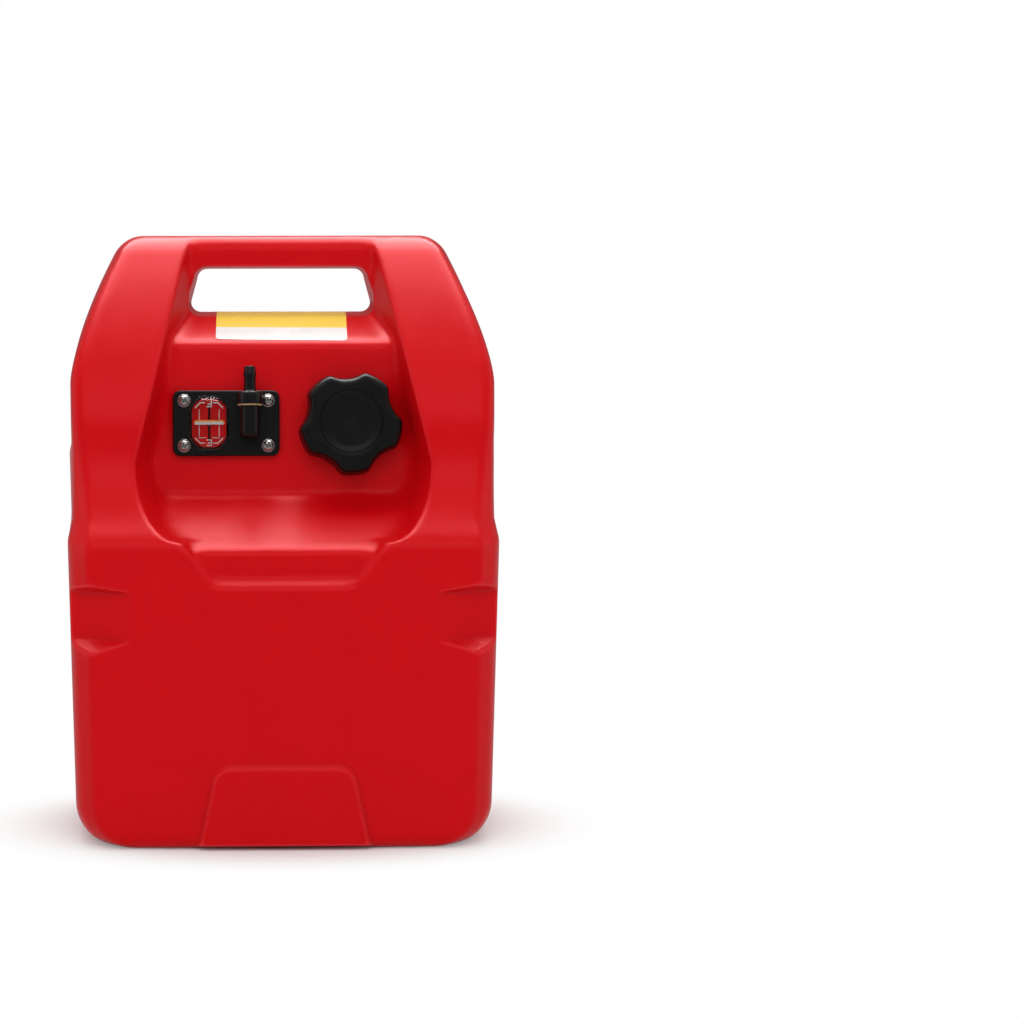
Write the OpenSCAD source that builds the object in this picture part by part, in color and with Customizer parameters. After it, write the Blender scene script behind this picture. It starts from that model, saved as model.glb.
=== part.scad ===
// Portable fuel tank for an outboard motor: a blow-moulded shell with a carrying handle,
// a vented screw cap, and a plate that holds the float gauge, the pickup and the hose barb.
// Millimetres. X to the right, the front faces -Y, Z up, standing on z = 0.

/* [Tank] */
// Width over the sides, above the side step
tank_w = 356; // [336:1:376]
// Depth over the front foot and the back pads
tank_d = 225; // [215:1:240]
// Height of the flat front face, up to the shoulder
lower_h = 250; // [240:1:276]
// Height of the sloping shelf under the panel
shelf_h = 32; // [26:1:40]
// Height of the recessed panel that carries the gauge and the cap
panel_h = 126; // [118:1:140]
// Height of the ledge between the panel and the handle opening
ledge_h = 24; // [20:1:34]
// Height of the handle opening
gap_h = 36; // [30:1:44]
// Height of the handle bar
bar_h = 28; // [24:1:34]
// Wall thickness of the shell
wall = 3.5; // [2.5:0.25:4.5]
// Inset of each side at the base
base_taper = 8.5; // [6:0.5:14]
// Inset of each side at the top
top_taper = 45.5; // [36:0.5:50]
// Height over which the sides close in towards the top
top_taper_h = 120; // [110:1:140]
// How far the lower sides stand out past the upper ones
side_step = 4; // [2:0.1:4.5]
// How far each side draws in from the parting line to the front and the back
side_draft = 4; // [2:0.5:6]
// Radius of the lower corners
corner_r = 34; // [26:1:40]
// Radius of the upper corners and of the bar's top edges
top_r = 14; // [10:0.5:14]
// Radius of the base edges at the front and the back
base_edge_r = 12; // [8:0.5:16]
// Width of the bevel round the front face
front_bevel = 17; // [12:0.5:22]
// Width of the bevel round the back face
back_bevel = 13; // [9:0.5:16]

/* [Panel recess and handle] */
// How far the upper front stands back from the front face
horn_set = 41; // [32:1:50]
// Height of the curve from the shoulder to the upper front
horn_curve_h = 86; // [70:1:100]
// How far the middle of the panel lies behind the front face
panel_set = 79; // [70:1:88]
// Lean of the panel away from upright, in degrees
panel_tilt = 6; // [3:0.5:9]
// Width between the two ridges where the recess is widest
recess_w = 242; // [232:1:252]
// Width between the two ridges at the top
recess_top_w = 156; // [150:1:166]
// Slant of the recess walls, run over depth
recess_draft = 0.35; // [0.2:0.05:0.45]
// Width of the handle opening at its foot, at the parting line
gap_w = 152; // [140:1:154]
// How much narrower the handle opening is at its top
gap_lean = 6; // [0:1:10]
// Corner radius of the handle opening
gap_r = 8; // [6:0.5:12]
// How far the opening flares from the parting line to each face of the bar
gap_flare = 4; // [2:0.5:5]
// Depth of the handle bar, front to back
bar_d = 36; // [30:1:42]
// Distance of the parting line from the back of the tank
parting_set = 67.5; // [60:0.5:75]

/* [Front and back relief] */
// Depth of the notch in the shoulder
notch_d = 8; // [5:0.5:11]
// Height of the notch in the shoulder
notch_h = 32; // [24:1:38]
// Width of the notch at its top
notch_w = 166; // [150:1:180]
// Inset of each side of the notch at its foot
notch_taper = 22; // [14:1:28]
// Height of the strap notches' and strap groove's lower edge
strap_z = 169; // [160:1:172]
// Height of the strap groove over its edges
strap_h = 56; // [48:1:58]
// Depth of the strap groove in the back
strap_d = 16; // [10:0.5:20]
// Height of the slope at the groove's lower edge
strap_low_slope = 13; // [9:0.5:16]
// Height of the slope at the groove's upper edge
strap_top_slope = 11; // [8:0.5:14]
// Distance of the strap notches in the front from the middle
side_notch_x = 121; // [112:1:130]
// Depth of the strap notches where they leave the side
side_notch_d = 26; // [18:1:32]
// How far the front foot stands out
foot_d = 3.5; // [2:0.25:5]
// Height of the front foot and of the recess in the back
foot_h = 69; // [60:1:84]
// Width of the front foot at the base
foot_w = 140; // [124:1:152]
// Inset of each side of the foot at its top
foot_taper = 11; // [8:1:18]
// Height of the trapezoid recess above the strap groove
trap_h = 31; // [24:1:36]
// Width of the trapezoid recess at its top
trap_w = 148; // [132:1:156]
// Inset of the trapezoid recess's sides at the strap groove
trap_taper = 15; // [8:1:18]
// Depth of the two recesses in the back
trap_d = 2; // [1:0.25:2.25]
// How far the four back pads stand out
pad_d = 2.5; // [1.5:0.25:4]
// Width of a back pad
pad_w = 36; // [28:1:42]
// Height of a back pad
pad_h = 72; // [60:1:80]
// Distance of the pads from the middle
pad_x = 118; // [108:1:124]
// Height of the middle of the lower pads
pad_low_z = 78; // [70:1:86]
// Height of the upper pads' middle above the shoulder
pad_top_z = 67; // [60:1:76]

/* [Filler and cap] */
// Distance of the filler from the middle
cap_x = 56; // [54:0.5:58]
// How far the fittings sit below the middle of the panel
fit_drop = 3.5; // [0:0.5:5]
// How far the filler sits below the middle of the gauge plate
cap_drop = 0; // [0:0.5:4]
// Radius of the neck's bore
neck_bore_r = 24; // [21:0.5:25]
// Wall of the neck
neck_wall = 5; // [4:0.25:5.5]
// Height of the neck above the panel
neck_h = 20; // [16:0.5:24]
// Clearance between the neck and the cap's skirt, room for the thread
cap_clear = 1; // [0.6:0.1:1.5]
// Radius of the cap over its lobes
cap_r = 42.5; // [41:0.25:45]
// Depth of the hollows between the lobes
lobe_d = 6.5; // [5:0.25:7.5]
// Width of a hollow across its mouth
hollow_w = 29; // [24:0.5:32]
// Turn of the lobes when the cap is tight, from one lobe straight down
lobe_turn = 4.5; // [-10:0.5:10]
// Number of lobes
lobes = 5; // [4:1:7]
// Gap between the cap's skirt and the panel
cap_lift = 2.5; // [1.5:0.25:4]
// Thickness of the cap's top
cap_top = 4; // [3:0.25:5]
// Height of the cap's rim above its dished top
dish_d = 2.5; // [1.5:0.25:3.5]
// Radius of the dish in the cap's top
dish_r = 26; // [23:0.5:27]
// Thickness of the cap's gasket
cap_gasket_t = 2.5; // [1.5:0.25:3.5]
// Radius of the vent's bore in the cap
vent_r = 6.2; // [5.4:0.1:7]
// Length of the vent's boss under the cap's top
vent_boss_h = 12.5; // [11.5:0.25:14]

/* [Gauge plate] */
// Width of the plate
plate_w = 88; // [86:0.5:92]
// Height of the plate
plate_h = 54; // [53:0.5:58]
// Thickness of the plate
plate_t = 5; // [4:0.25:6]
// Distance of the plate's middle from the recess's widest edge
plate_side = 74.5; // [74:0.5:77]
// Thickness of the gasket under the plate
plate_gasket_t = 2; // [1:0.25:3]
// Distance between the screws across the plate
screw_dx = 69.2; // [68:0.2:71]
// Distance between the screws up the plate
screw_dy = 37.2; // [36:0.2:39]
// Radius of the screws' shank
screw_r = 2.4; // [2:0.1:2.6]
// Width of the opening in the panel behind the plate
port_w = 58; // [56:0.5:59]
// Height of the opening in the panel behind the plate
port_h = 41; // [40.5:0.5:42]
// Distance of the lens from the plate's middle
lens_x = 14; // [13:0.25:15]
// Width of the lens
lens_w = 32; // [30:0.5:33]
// Height of the lens
lens_h = 43.5; // [43:0.5:45]
// Height of the lens above the plate
lens_rise = 7; // [5:0.5:9]
// Distance of the elbow from the plate's middle
elbow_x = 19.5; // [19:0.25:20]
// Radius of the elbow
elbow_r = 8.2; // [7.5:0.1:8.8]
// Height of the elbow's axis above the plate
elbow_rise = 11; // [10:0.25:13]
// Radius of the fuel passage
fuel_r = 3.2; // [2.4:0.1:3.6]
// Distance of the elbow's closed end from the plate's middle
elbow_end = 12; // [11:0.25:13]
// Radius of the barb's hose land
barb_r = 4.8; // [4.2:0.1:5.4]
// Height of the barb's ridge over its hose land
barb_ridge = 0.5; // [0.3:0.1:1]
// Length of the barb above its collar
barb_h = 21; // [18:0.5:26]

/* [Float gauge and pickup] */
// Depth of the float's pivot below the panel
pivot_depth = 30; // [29:0.5:34]
// Length of the float arm
arm_l = 165; // [130:1:170]
// Radius of the arm's wire
wire_r = 1.5; // [1.2:0.1:1.8]
// Radius of the float
float_r = 11; // [8:0.25:13]
// Length of the float
float_l = 38; // [28:1:42]
// Gap between the strainer and the inside of the back wall
strainer_gap = 15; // [10:1:40]
// Length of the strainer
strainer_l = 24; // [18:1:28]

/* [Fits] */
// Clearance where one fixed piece sits in another
seat_clear = 0.05; // [0.02:0.01:0.1]
// Radial clearance of the hose barb's stem in the elbow
stem_clear = 0.15; // [0.1:0.01:0.2]
// Radial clearance of the float's hub on its pin
run_clear = 0.08; // [0.04:0.01:0.1]
// Clearance between pieces that move past each other
move_clear = 0.5; // [0.4:0.05:0.8]

/* [Hidden] */
$fn = 48;

// Drop of the back's crease below the panel's top, and the rise that leads the back's lean in
crease_drop = 11;
lean_lead = 20;
// Height over which the recess swells to its full width, and how much narrower the back scoop is
swell_h = 30;
scoop_inset = 20;
// Climb of the side step from front to back, and half the height over which it fades
step_climb = 90;
step_fade = 8;

// Heights up the tank
z_shoulder = lower_h;
z_notch = z_shoulder - notch_h;
z_panel_low = z_shoulder + shelf_h;
z_panel_top = z_panel_low + panel_h;
z_panel = (z_panel_low + z_panel_top) / 2 - fit_drop;
z_gap = z_panel_top + ledge_h;
z_bar = z_gap + gap_h;
tank_h = z_bar + bar_h;
z_hip = z_shoulder + horn_curve_h;
z_crease = z_panel_top - crease_drop;
z_close = tank_h - top_taper_h;

// Depths through the tank
y_front = -tank_d / 2 + foot_d;
y_back = tank_d / 2 - pad_d;
y_part = tank_d / 2 - parting_set;
y_bar_front = y_part - bar_d / 2;
y_bar_back = y_part + bar_d / 2;
y_hip = y_front + horn_set;
y_panel = y_front + panel_set;
plate_x = recess_w / 2 - plate_side;

// Softening of edges that run across the tank, and setbacks of the rounded upright edges
edge_soft = 4;
shoulder_soft = 12;
recess_round = 6;
bevel_round = 6;
side_round = 14;
min_draft = 4;

function mix(a, b, t) = a + (b - a) * t;
function ramp(v, a, b) = min(1, max(0, (v - a) / (b - a)));
function round_in(d, r) = d >= r ? 0 : r - sqrt(max(0, r * r - (r - d) * (r - d)));

// Profiles: depth or half width as a function of height

function panel_y(z) = y_panel + (z - z_panel) * tan(panel_tilt);

function horn_line(z) = z < z_shoulder ? y_front
    : z < z_hip ? mix(y_front, y_hip, 1 - pow(1 - ramp(z, z_shoulder, z_hip), 2))
    : mix(y_hip, y_bar_front, pow(ramp(z, z_hip, tank_h), 1.5));

function recess_line(z) = z < z_notch ? y_front
    : z < z_shoulder ? y_front + notch_d
    : z < z_panel_low ? mix(y_front + notch_d, panel_y(z_panel_low), ramp(z, z_shoulder, z_panel_low))
    : z < z_panel_top ? panel_y(z)
    : mix(panel_y(z_panel_top), y_bar_front, ramp(z, z_panel_top, z_gap));

function groove(z) = strap_d * min(ramp(z, strap_z, strap_z + strap_low_slope),
    1 - ramp(z, strap_z + strap_h - strap_top_slope, strap_z + strap_h));

function back_line(z) = mix(y_back, y_bar_back, pow(ramp(z, z_crease - lean_lead, tank_h), 1.6)) - groove(z);

function scoop_line(z) = mix(back_line(min(z, z_crease)), y_bar_back, ramp(z, z_crease, z_gap));

function soft(line, z, d) = (line(z - d) + line(z - d / 2) + 2 * line(z) + line(z + d / 2) + line(z + d)) / 6;

function end_round(z) = round_in(max(0, z), base_edge_r) + round_in(max(0, tank_h - z), top_r);

function horn_y(z) = soft(function(v) horn_line(v), z, shoulder_soft) + end_round(z);
function recess_y(z) = max(horn_y(z), soft(function(v) recess_line(v), z, edge_soft) + end_round(z));
function back_y(z) = soft(function(v) back_line(v), z, edge_soft) - end_round(z);
function scoop_y(z) = min(back_y(z), soft(function(v) scoop_line(v), z, edge_soft) - end_round(z));

function half_w(z) = tank_w / 2 - base_taper * (1 - ramp(z, 0, z_close))
    - top_taper * pow(ramp(z, z_close, tank_h), 1.5)
    - round_in(max(0, z), corner_r) - round_in(max(0, tank_h - z), top_r);

// Each side stands out below a line that climbs from the shoulder at the front to the back
function step_out(z, y) = let (z0 = z_shoulder + step_fade + step_climb * ramp(y, y_front, y_back))
    side_step * (1 - ramp(z, z0 - step_fade, z0 + step_fade));

// Half width between the ridges: a rounded foot down to the notch, then straight to the top
recess_wide_z = z_panel_low + swell_h;
function recess_half(z) = z < z_notch ? notch_w / 2 - notch_taper
    : z < z_shoulder ? notch_w / 2 - notch_taper * (1 - ramp(z, z_notch, z_shoulder))
    : z < recess_wide_z ? mix(notch_w / 2, recess_w / 2,
        sqrt(1 - pow(1 - ramp(z, z_shoulder, recess_wide_z), 2)))
    : mix(recess_w / 2, recess_top_w / 2, ramp(z, recess_wide_z, tank_h));

function scoop_half(z) = mix(recess_w / 2 - scoop_inset, recess_top_w / 2, ramp(z, z_crease, tank_h));

// Offset of a profile by the wall: the envelope of a circle that rolls along it
function inset_up(f, z, s) = s == 0 ? f(z)
    : max([for (k = [-8 : 8]) f(z + s * k / 8) + s * sqrt(1 - k * k / 64)]);
function inset_down(f, z, s) = s == 0 ? f(z)
    : min([for (k = [-8 : 8]) f(z + s * k / 8) - s * sqrt(1 - k * k / 64)]);

// Corners of half a level section, from the front to the back: x, y, setback
function section_corners(z, s) = let (
    yh = inset_up(function(v) horn_y(v), z, s),
    yr = inset_up(function(v) recess_y(v), z, s),
    yb = inset_down(function(v) back_y(v), z, s),
    ys = inset_down(function(v) scoop_y(v), z, s),
    w = inset_down(function(v) half_w(v), z, s),
    xr = recess_half(z) + s,
    xs = scoop_half(z) + s,
    bevel = front_bevel * mix(1, 0.5, ramp(z, z_shoulder, z_panel)),
    wf = w - side_draft + step_out(z, y_front),
    wb = w - side_draft + step_out(z, y_back)) [
    [xr - max(min_draft, recess_draft * (yr - yh)), yr, recess_round],
    [xr, yh, recess_round],
    [wf - bevel, yh, bevel_round],
    [wf, mix(yh, y_part, bevel / (y_part - y_front)), side_round],
    [w + step_out(z, y_part), y_part, 0],
    [wb, mix(yb, y_part, back_bevel / (y_back - y_part)), side_round],
    [wb - back_bevel, yb, bevel_round],
    [xs, yb, recess_round],
    [xs - max(min_draft, recess_draft * (yb - ys)), ys, recess_round]];

// A corner becomes one point, or three points of a curve that starts a setback away
function toward(a, b, d) = a + (b - a) * min(0.45, d / norm(b - a));
function rounded(path, s) = [for (i = [0 : len(path) - 1])
    let (c = [path[i].x, path[i].y],
        a = i == 0 ? [0, c.y] : [path[i - 1].x, path[i - 1].y],
        b = i == len(path) - 1 ? [0, c.y] : [path[i + 1].x, path[i + 1].y])
    each s > 0 || path[i].z == 0 ? [c]
        : let (p = toward(c, a, path[i].z), q = toward(c, b, path[i].z)) [p, (p + 2 * c + q) / 4, q]];

function mirrored(half) = concat(half, [for (i = [len(half) - 1 : -1 : 0]) [-half[i].x, half[i].y]]);
function tank_ring(z, s) = [for (p = mirrored(rounded(section_corners(z, s), s))) [p.x, p.y, z]];

function sorted(v) = len(v) < 2 ? v : let (m = v[floor(len(v) / 2)]) concat(
    sorted([for (x = v) if (x < m) x]), [m], sorted([for (x = v) if (x > m) x]));
function spaced(v, d) = [for (i = [0 : len(v) - 1]) if (i == 0 || v[i] - v[i - 1] > d) v[i]];

breaks = [strap_z, strap_z + strap_low_slope, strap_z + strap_h - strap_top_slope, strap_z + strap_h,
    z_notch, z_shoulder, z_panel_low, z_crease, z_panel_top, z_gap];
// Spacing of the levels above the shoulder, outside and inside
level_lead = 12;
outer_step = 14;
inner_step = 18;
inner_end = 4;
function rise(r, n) = [for (i = [1 : n]) r * (1 - cos(90 * i / n))];
outer_levels = let (inner_part = [for (z = concat(
        rise(corner_r, 6),
        [for (b = breaks) each [b - edge_soft, b, b + edge_soft]],
        [z_shoulder - shoulder_soft],
        [for (z = [z_shoulder + level_lead : outer_step : tank_h - top_r]) z],
        [for (d = rise(top_r, 4)) tank_h - d])) z])
    concat([0], spaced(sorted([for (z = inner_part) if (z > 0.4 && z < tank_h - 0.4) z]), 1), [tank_h]);
inner_levels = let (low = wall, top = tank_h - wall)
    concat([low], spaced(sorted([for (z = concat(
        [for (d = rise(corner_r, 4)) low + d],
        [for (b = breaks) each [b - 2, b + 2]],
        [z_shoulder - shoulder_soft],
        [for (z = [z_shoulder + level_lead : inner_step : top]) z]))
        if (z > low + 1 && z < top - inner_end) z]), inner_end / 2), [top]);

// A solid through a stack of rings with the same number of points
module loft(rings) {
    m = len(rings);
    n = len(rings[0]);
    function middle(ring) = [for (k = [0 : 2]) (min([for (p = ring) p[k]]) + max([for (p = ring) p[k]])) / 2];
    points = concat([for (ring = rings) each ring], [middle(rings[0]), middle(rings[m - 1])]);
    sides = [for (i = [0 : m - 2]) for (j = [0 : n - 1])
        let (a = i * n + j, b = i * n + (j + 1) % n) each [[a, a + n, b], [b, a + n, b + n]]];
    ends = [for (j = [0 : n - 1]) let (k = (j + 1) % n, t = (m - 1) * n)
        each [[m * n, j, k], [m * n + 1, t + k, t + j]]];
    polyhedron(points, concat(sides, ends));
}

// Rings for lofts that run towards +Y, of width w0 at the foot and w1 at the top, centred at x = 0:
// one with four rounded corners, and one with square lower corners
function corner_arc(x, z, r, a0) = [for (a = [0 : 22.5 : 90]) [x + r * cos(a0 + a), z + r * sin(a0 + a)]];
function slab_ring(y, w0, w1, z0, z1, r) = [for (p = concat(
    corner_arc(w1 / 2 - r, z1 - r, r, 0), corner_arc(r - w1 / 2, z1 - r, r, 90),
    corner_arc(r - w0 / 2, z0 + r, r, 180), corner_arc(w0 / 2 - r, z0 + r, r, 270))) [-p.x, y, p.y]];
function trapezoid_ring(y, w0, w1, z0, z1, r) = [for (p = concat(
    [[w0 / 2, z0]], corner_arc(w1 / 2 - r, z1 - r, r, 0),
    corner_arc(r - w1 / 2, z1 - r, r, 90), [[-w0 / 2, z0]])) [-p.x, y, p.y]];

module shift(x, z) { translate([x, 0, z]) children(); }

// The handle opening, narrowest at the parting line
module handle_opening(grow) {
    reach = bar_d / 2 + 2 * wall;
    flare = gap_flare * reach / (bar_d / 2);
    loft([for (k = [-1, 0, 1]) let (e = grow + abs(k) * flare, w = gap_w + 2 * e)
        slab_ring(y_part + k * reach, w, w - gap_lean, z_gap - e, z_bar + e, gap_r + e)]);
}

// A wedge-shaped strap notch on one side of the front, deepest at the side. Its floor keeps
// its height, and the faces above and below it open towards the front.
notch_floor_low = 3;
notch_floor_h = 38;
notch_low_slope = 0.75;
notch_top_slope = 0.37;
module strap_notch(grow) {
    lead = 12;
    clear = 15;
    z0 = strap_z + notch_floor_low - grow;
    z1 = z0 + notch_floor_h + 2 * grow;
    slope = side_notch_d / (tank_w / 2 - side_notch_x);
    function wedge_ring(x) = let (depth = slope * (x - side_notch_x) + grow, run = depth + clear) [
        [x, y_front - clear, z0 - run * notch_low_slope], [x, y_front + depth, z0],
        [x, y_front + depth, z1], [x, y_front - clear, z1 + run * notch_top_slope]];
    loft([wedge_ring(side_notch_x - lead), wedge_ring(tank_w / 2 + lead)]);
}

// Frame on the panel: X along it, Y up it, Z out of it
module on_panel(x = 0, up = 0) {
    translate([x, y_panel, z_panel]) rotate([90 - panel_tilt, 0, 0]) translate([0, up, 0]) children();
}
module on_plate() { on_panel(-plate_x) children(); }
module on_filler() { on_panel(cap_x, -cap_drop) children(); }
module at_screws() {
    for (sx = [-1, 1])
        for (sy = [-1, 1])
            translate([sx * screw_dx / 2, sy * screw_dy / 2, 0]) children();
}

module tube(r, bore, z0, z1) {
    rotate_extrude()
        translate([bore, z0])
            square([r - bore, z1 - z0]);
}
module rounded_rect(w, h, r) {
    square([w - 2 * r, h], center = true);
    square([w, h - 2 * r], center = true);
    for (sx = [-1, 1])
        for (sy = [-1, 1])
            translate([sx * (w / 2 - r), sy * (h / 2 - r)]) circle(r);
}

// The shell

insert_r = screw_r + 2.1;
neck_r = neck_bore_r + neck_wall;
foot_top_w = foot_w - 2 * foot_taper;
foot_z = 3;
foot_r = 15;
// Slant of the raised and sunk panels' edges
relief_draft = 2;

module tank_relief() {
    loft([for (d = [-foot_d, 0, base_edge_r]) let (e = relief_draft * (d < 0 ? 1 : 0))
        trapezoid_ring(y_front + d, foot_w - 3 * e, foot_top_w - 3 * e,
            foot_z + e, foot_h - 2 * e, foot_r - e)]);
    for (sx = [-1, 1])
        for (z = [pad_low_z, z_shoulder + pad_top_z])
            shift(sx * pad_x, z)
                loft([for (d = [-1, 0, pad_d]) let (e = max(0, d), h = pad_h / 2 - e, w = pad_w - 2 * e)
                    slab_ring(y_back + d, w, w, -h, h, w / 2 - 0.5)]);
}

module tank_recesses() {
    z_trap = strap_z + strap_h;
    trap_r = 8;
    over = 5;
    trap_low_w = trap_w - 2 * trap_taper * (1 + over / trap_h);
    loft([for (k = [0, 1]) let (e = relief_draft * k)
        trapezoid_ring(y_back - trap_d * (1 - 2 * k), trap_low_w + 3 * e, trap_w + 3 * e,
            z_trap - over, z_trap + trap_h + e, trap_r)]);
    loft([for (k = [0, 1]) let (e = relief_draft * k)
        trapezoid_ring(y_back - trap_d * (1 - 2 * k), foot_w + 3 * e, foot_top_w + 3 * e,
            -over, foot_z + foot_h + e, foot_r)]);
}

module tank_body() {
    color("firebrick") difference() {
        union() {
            loft([for (z = outer_levels) tank_ring(z, 0)]);
            tank_relief();
            on_filler() tube(neck_r, neck_bore_r - wall, -wall / 2, neck_h);
        }
        difference() {
            loft([for (z = inner_levels) tank_ring(z, wall)]);
            handle_opening(wall);
            strap_notch(wall);
            mirror([1, 0, 0]) strap_notch(wall);
        }
        handle_opening(0);
        strap_notch(0);
        mirror([1, 0, 0]) strap_notch(0);
        tank_recesses();
        on_filler() translate([0, 0, -3 * wall]) cylinder(r = neck_bore_r, h = neck_h + 4 * wall);
        on_plate() translate([0, 0, -3 * wall]) linear_extrude(4 * wall) port_outline();
        on_plate() at_screws() translate([0, 0, -3 * wall])
            cylinder(r = insert_r + seat_clear, h = 4 * wall);
    }
}

// Four blind threaded inserts in the panel, each with a flange behind the wall
insert_tail = 9;
insert_end = 2;
insert_flange = 1.2;

module insert_nuts() {
    depth = wall + insert_tail;
    color("goldenrod") on_plate() at_screws() difference() {
        union() {
            translate([0, 0, -depth]) cylinder(r = insert_r, h = depth);
            translate([0, 0, -wall - seat_clear - insert_end])
                cylinder(r = insert_r + insert_flange, h = insert_end);
        }
        translate([0, 0, insert_end - depth]) cylinder(r = screw_r + seat_clear, h = depth);
    }
}

// The cap and its vent, in the filler's frame

z_seal = neck_h + cap_gasket_t;
z_cap = z_seal + cap_top + dish_d;
skirt_r = neck_r + cap_clear;
dish_step = 0.9;
dish_slope = 6;
vent_hole_r = 0.8;
cap_side = 8;
cap_edge = 3;
cap_taper = 1.2;
vent_wall = 2.3;

// Outline of the cap: broad lobes parted by round hollows, with the corners between them softened
hollow_dip = lobe_d - cap_r + sqrt(pow(cap_r, 2) - pow(hollow_w / 2, 2));
hollow_r = (pow(hollow_w / 2, 2) + pow(hollow_dip, 2)) / (2 * hollow_dip);
hollow_far = cap_r - lobe_d + hollow_r;
hollow_half = asin(hollow_w / 2 / cap_r);
lobe_steps = 16;
lobe_soft = 3;
function lobe_line(a) = abs(a) > hollow_half ? cap_r
    : hollow_far * cos(a) - sqrt(pow(hollow_r, 2) - pow(hollow_far * sin(a), 2));
function cap_ring(z, grow) = [for (i = [0 : lobes * lobe_steps - 1])
    let (turn = i / lobe_steps, a = 360 * turn / lobes - 90 + lobe_turn,
        from_hollow = 360 / lobes * (turn - floor(turn) - 0.5),
        r = grow + soft(function(v) lobe_line(v), from_hollow, lobe_soft))
    [r * cos(a), r * sin(a), z]];

module fill_cap() {
    color([0.15, 0.15, 0.15]) on_filler() {
        difference() {
            loft([cap_ring(cap_lift, 0.8), cap_ring(z_cap - cap_side, -cap_taper / 2),
                cap_ring(z_cap - cap_edge, -cap_taper),
                cap_ring(z_cap - 0.8, -2.8), cap_ring(z_cap, -5)]);
            translate([0, 0, -1]) cylinder(r = skirt_r, h = z_seal + 1);
            rotate_extrude() polygon([[0, z_cap + 1], [0, z_cap - dish_d],
                [dish_r - dish_slope, z_cap - dish_d], [dish_r - 1, z_cap - dish_step],
                [dish_r, z_cap - dish_step], [dish_r, z_cap + 1]]);
            translate([0, 0, z_seal - 1]) cylinder(r = vent_hole_r, h = cap_top + dish_d + 2);
        }
        tube(vent_r + vent_wall, vent_r, z_seal - vent_boss_h, z_seal + 0.5);
    }
}

module cap_gasket() {
    color("dimgray") on_filler()
        tube(skirt_r - move_clear, neck_bore_r + move_clear, neck_h, z_seal);
}

retainer_t = 3;
z_vent_seat = z_seal - vent_boss_h + retainer_t;
valve_t = 2.5;
stem_r = 1.5;
z_stem = z_vent_seat - retainer_t / 2;

module vent_valve() {
    color("peru") on_filler() rotate_extrude() polygon([[0, z_seal], [vent_r - move_clear, z_seal],
        [vent_r - move_clear, z_seal - valve_t], [stem_r, z_seal - valve_t], [stem_r, z_stem], [0, z_stem]]);
}

// The vent's spring: one unbroken tube wound round the valve's stem
spring_wire = 0.35;
spring_turns = 5;
spring_coil = vent_r - move_clear - 2 * spring_wire - 0.6;
spring_low = z_vent_seat + spring_wire + 0.05;
spring_top = z_seal - valve_t - spring_wire - 0.05;
function spring_point(t) = let (a = 360 * t) [spring_coil * cos(a), spring_coil * sin(a),
    mix(spring_low, spring_top, ramp(t, 0.5, spring_turns - 0.5))];
spring_steps = [for (i = [0 : 8 * spring_turns]) i / 8];
function spring_ring(t) = let (a = 360 * t, c = spring_point(t)) [for (k = [0 : 5])
    let (b = 60 * k, r = spring_wire * cos(b)) c + [r * cos(a), r * sin(a), spring_wire * sin(b)]];
echo(spring_gap = (spring_top - spring_low) / (spring_turns - 1) - 2 * spring_wire);

module vent_spring() {
    color("silver") on_filler() loft([for (t = spring_steps) spring_ring(t)]);
}

module vent_retainer() {
    color("gray") on_filler() translate([0, 0, z_vent_seat - retainer_t]) difference() {
        cylinder(r = vent_r - seat_clear, h = retainer_t);
        translate([0, 0, -1]) cylinder(r = stem_r + move_clear, h = retainer_t + 2);
        for (a = [0, 120, 240])
            rotate(a) translate([(vent_r + stem_r + move_clear) / 2, 0, -1])
                cylinder(r = vent_hole_r, h = retainer_t + 2);
    }
}

// The gauge plate and what it carries, in the plate's frame

z_plate = plate_gasket_t;
plate_r = 6;
z_face = plate_gasket_t + plate_t;
lens_pocket = 2;
lens_gasket_t = 1;
lens_chamfer = 9;
lens_edge = 3;
lens_flange = 1;
lens_t = 2;
window_chamfer = 4;
port_r = 8;
screw_clear = 0.4;

// Octagon of the lens and its window
function octagon(w, h, c) = [[w / 2, c - h / 2], [w / 2, h / 2 - c], [w / 2 - c, h / 2], [c - w / 2, h / 2],
    [-w / 2, h / 2 - c], [-w / 2, c - h / 2], [c - w / 2, -h / 2], [w / 2 - c, -h / 2]];
function lens_ring(z, d) = [for (p = octagon(lens_w - 2 * d, lens_h - 2 * d, lens_chamfer - 0.6 * d))
    [p.x, p.y, z]];
module lens_outline(d) { polygon(octagon(lens_w - 2 * d, lens_h - 2 * d, lens_chamfer - 0.6 * d)); }
module window_outline() { polygon(octagon(lens_w - 2 * lens_edge, lens_h - 2 * lens_edge, window_chamfer)); }
module port_outline() { rounded_rect(port_w, port_h, port_r); }

module screw_holes(clear, z0, z1) {
    at_screws() translate([0, 0, z0]) cylinder(r = screw_r + clear, h = z1 - z0);
}

module gauge_gasket() {
    color([0.2, 0.2, 0.2]) on_plate() difference() {
        linear_extrude(plate_gasket_t) rounded_rect(plate_w - 2, plate_h - 2, plate_r - 1);
        translate([0, 0, -1]) linear_extrude(plate_gasket_t + 2) port_outline();
        screw_holes(screw_clear, -1, plate_gasket_t + 1);
    }
}

// Elbow: a round body up the plate, with the fuel passage from the barb to the pickup
z_elbow = z_face + elbow_rise;
elbow_top = 14;
elbow_low = -5;
elbow_round = 2.5;
foot_in = 0.6;
socket_r = fuel_r + 1.9;
socket_h = 9;
spigot_r = fuel_r + 1.8;
spigot_h = 14;

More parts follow.
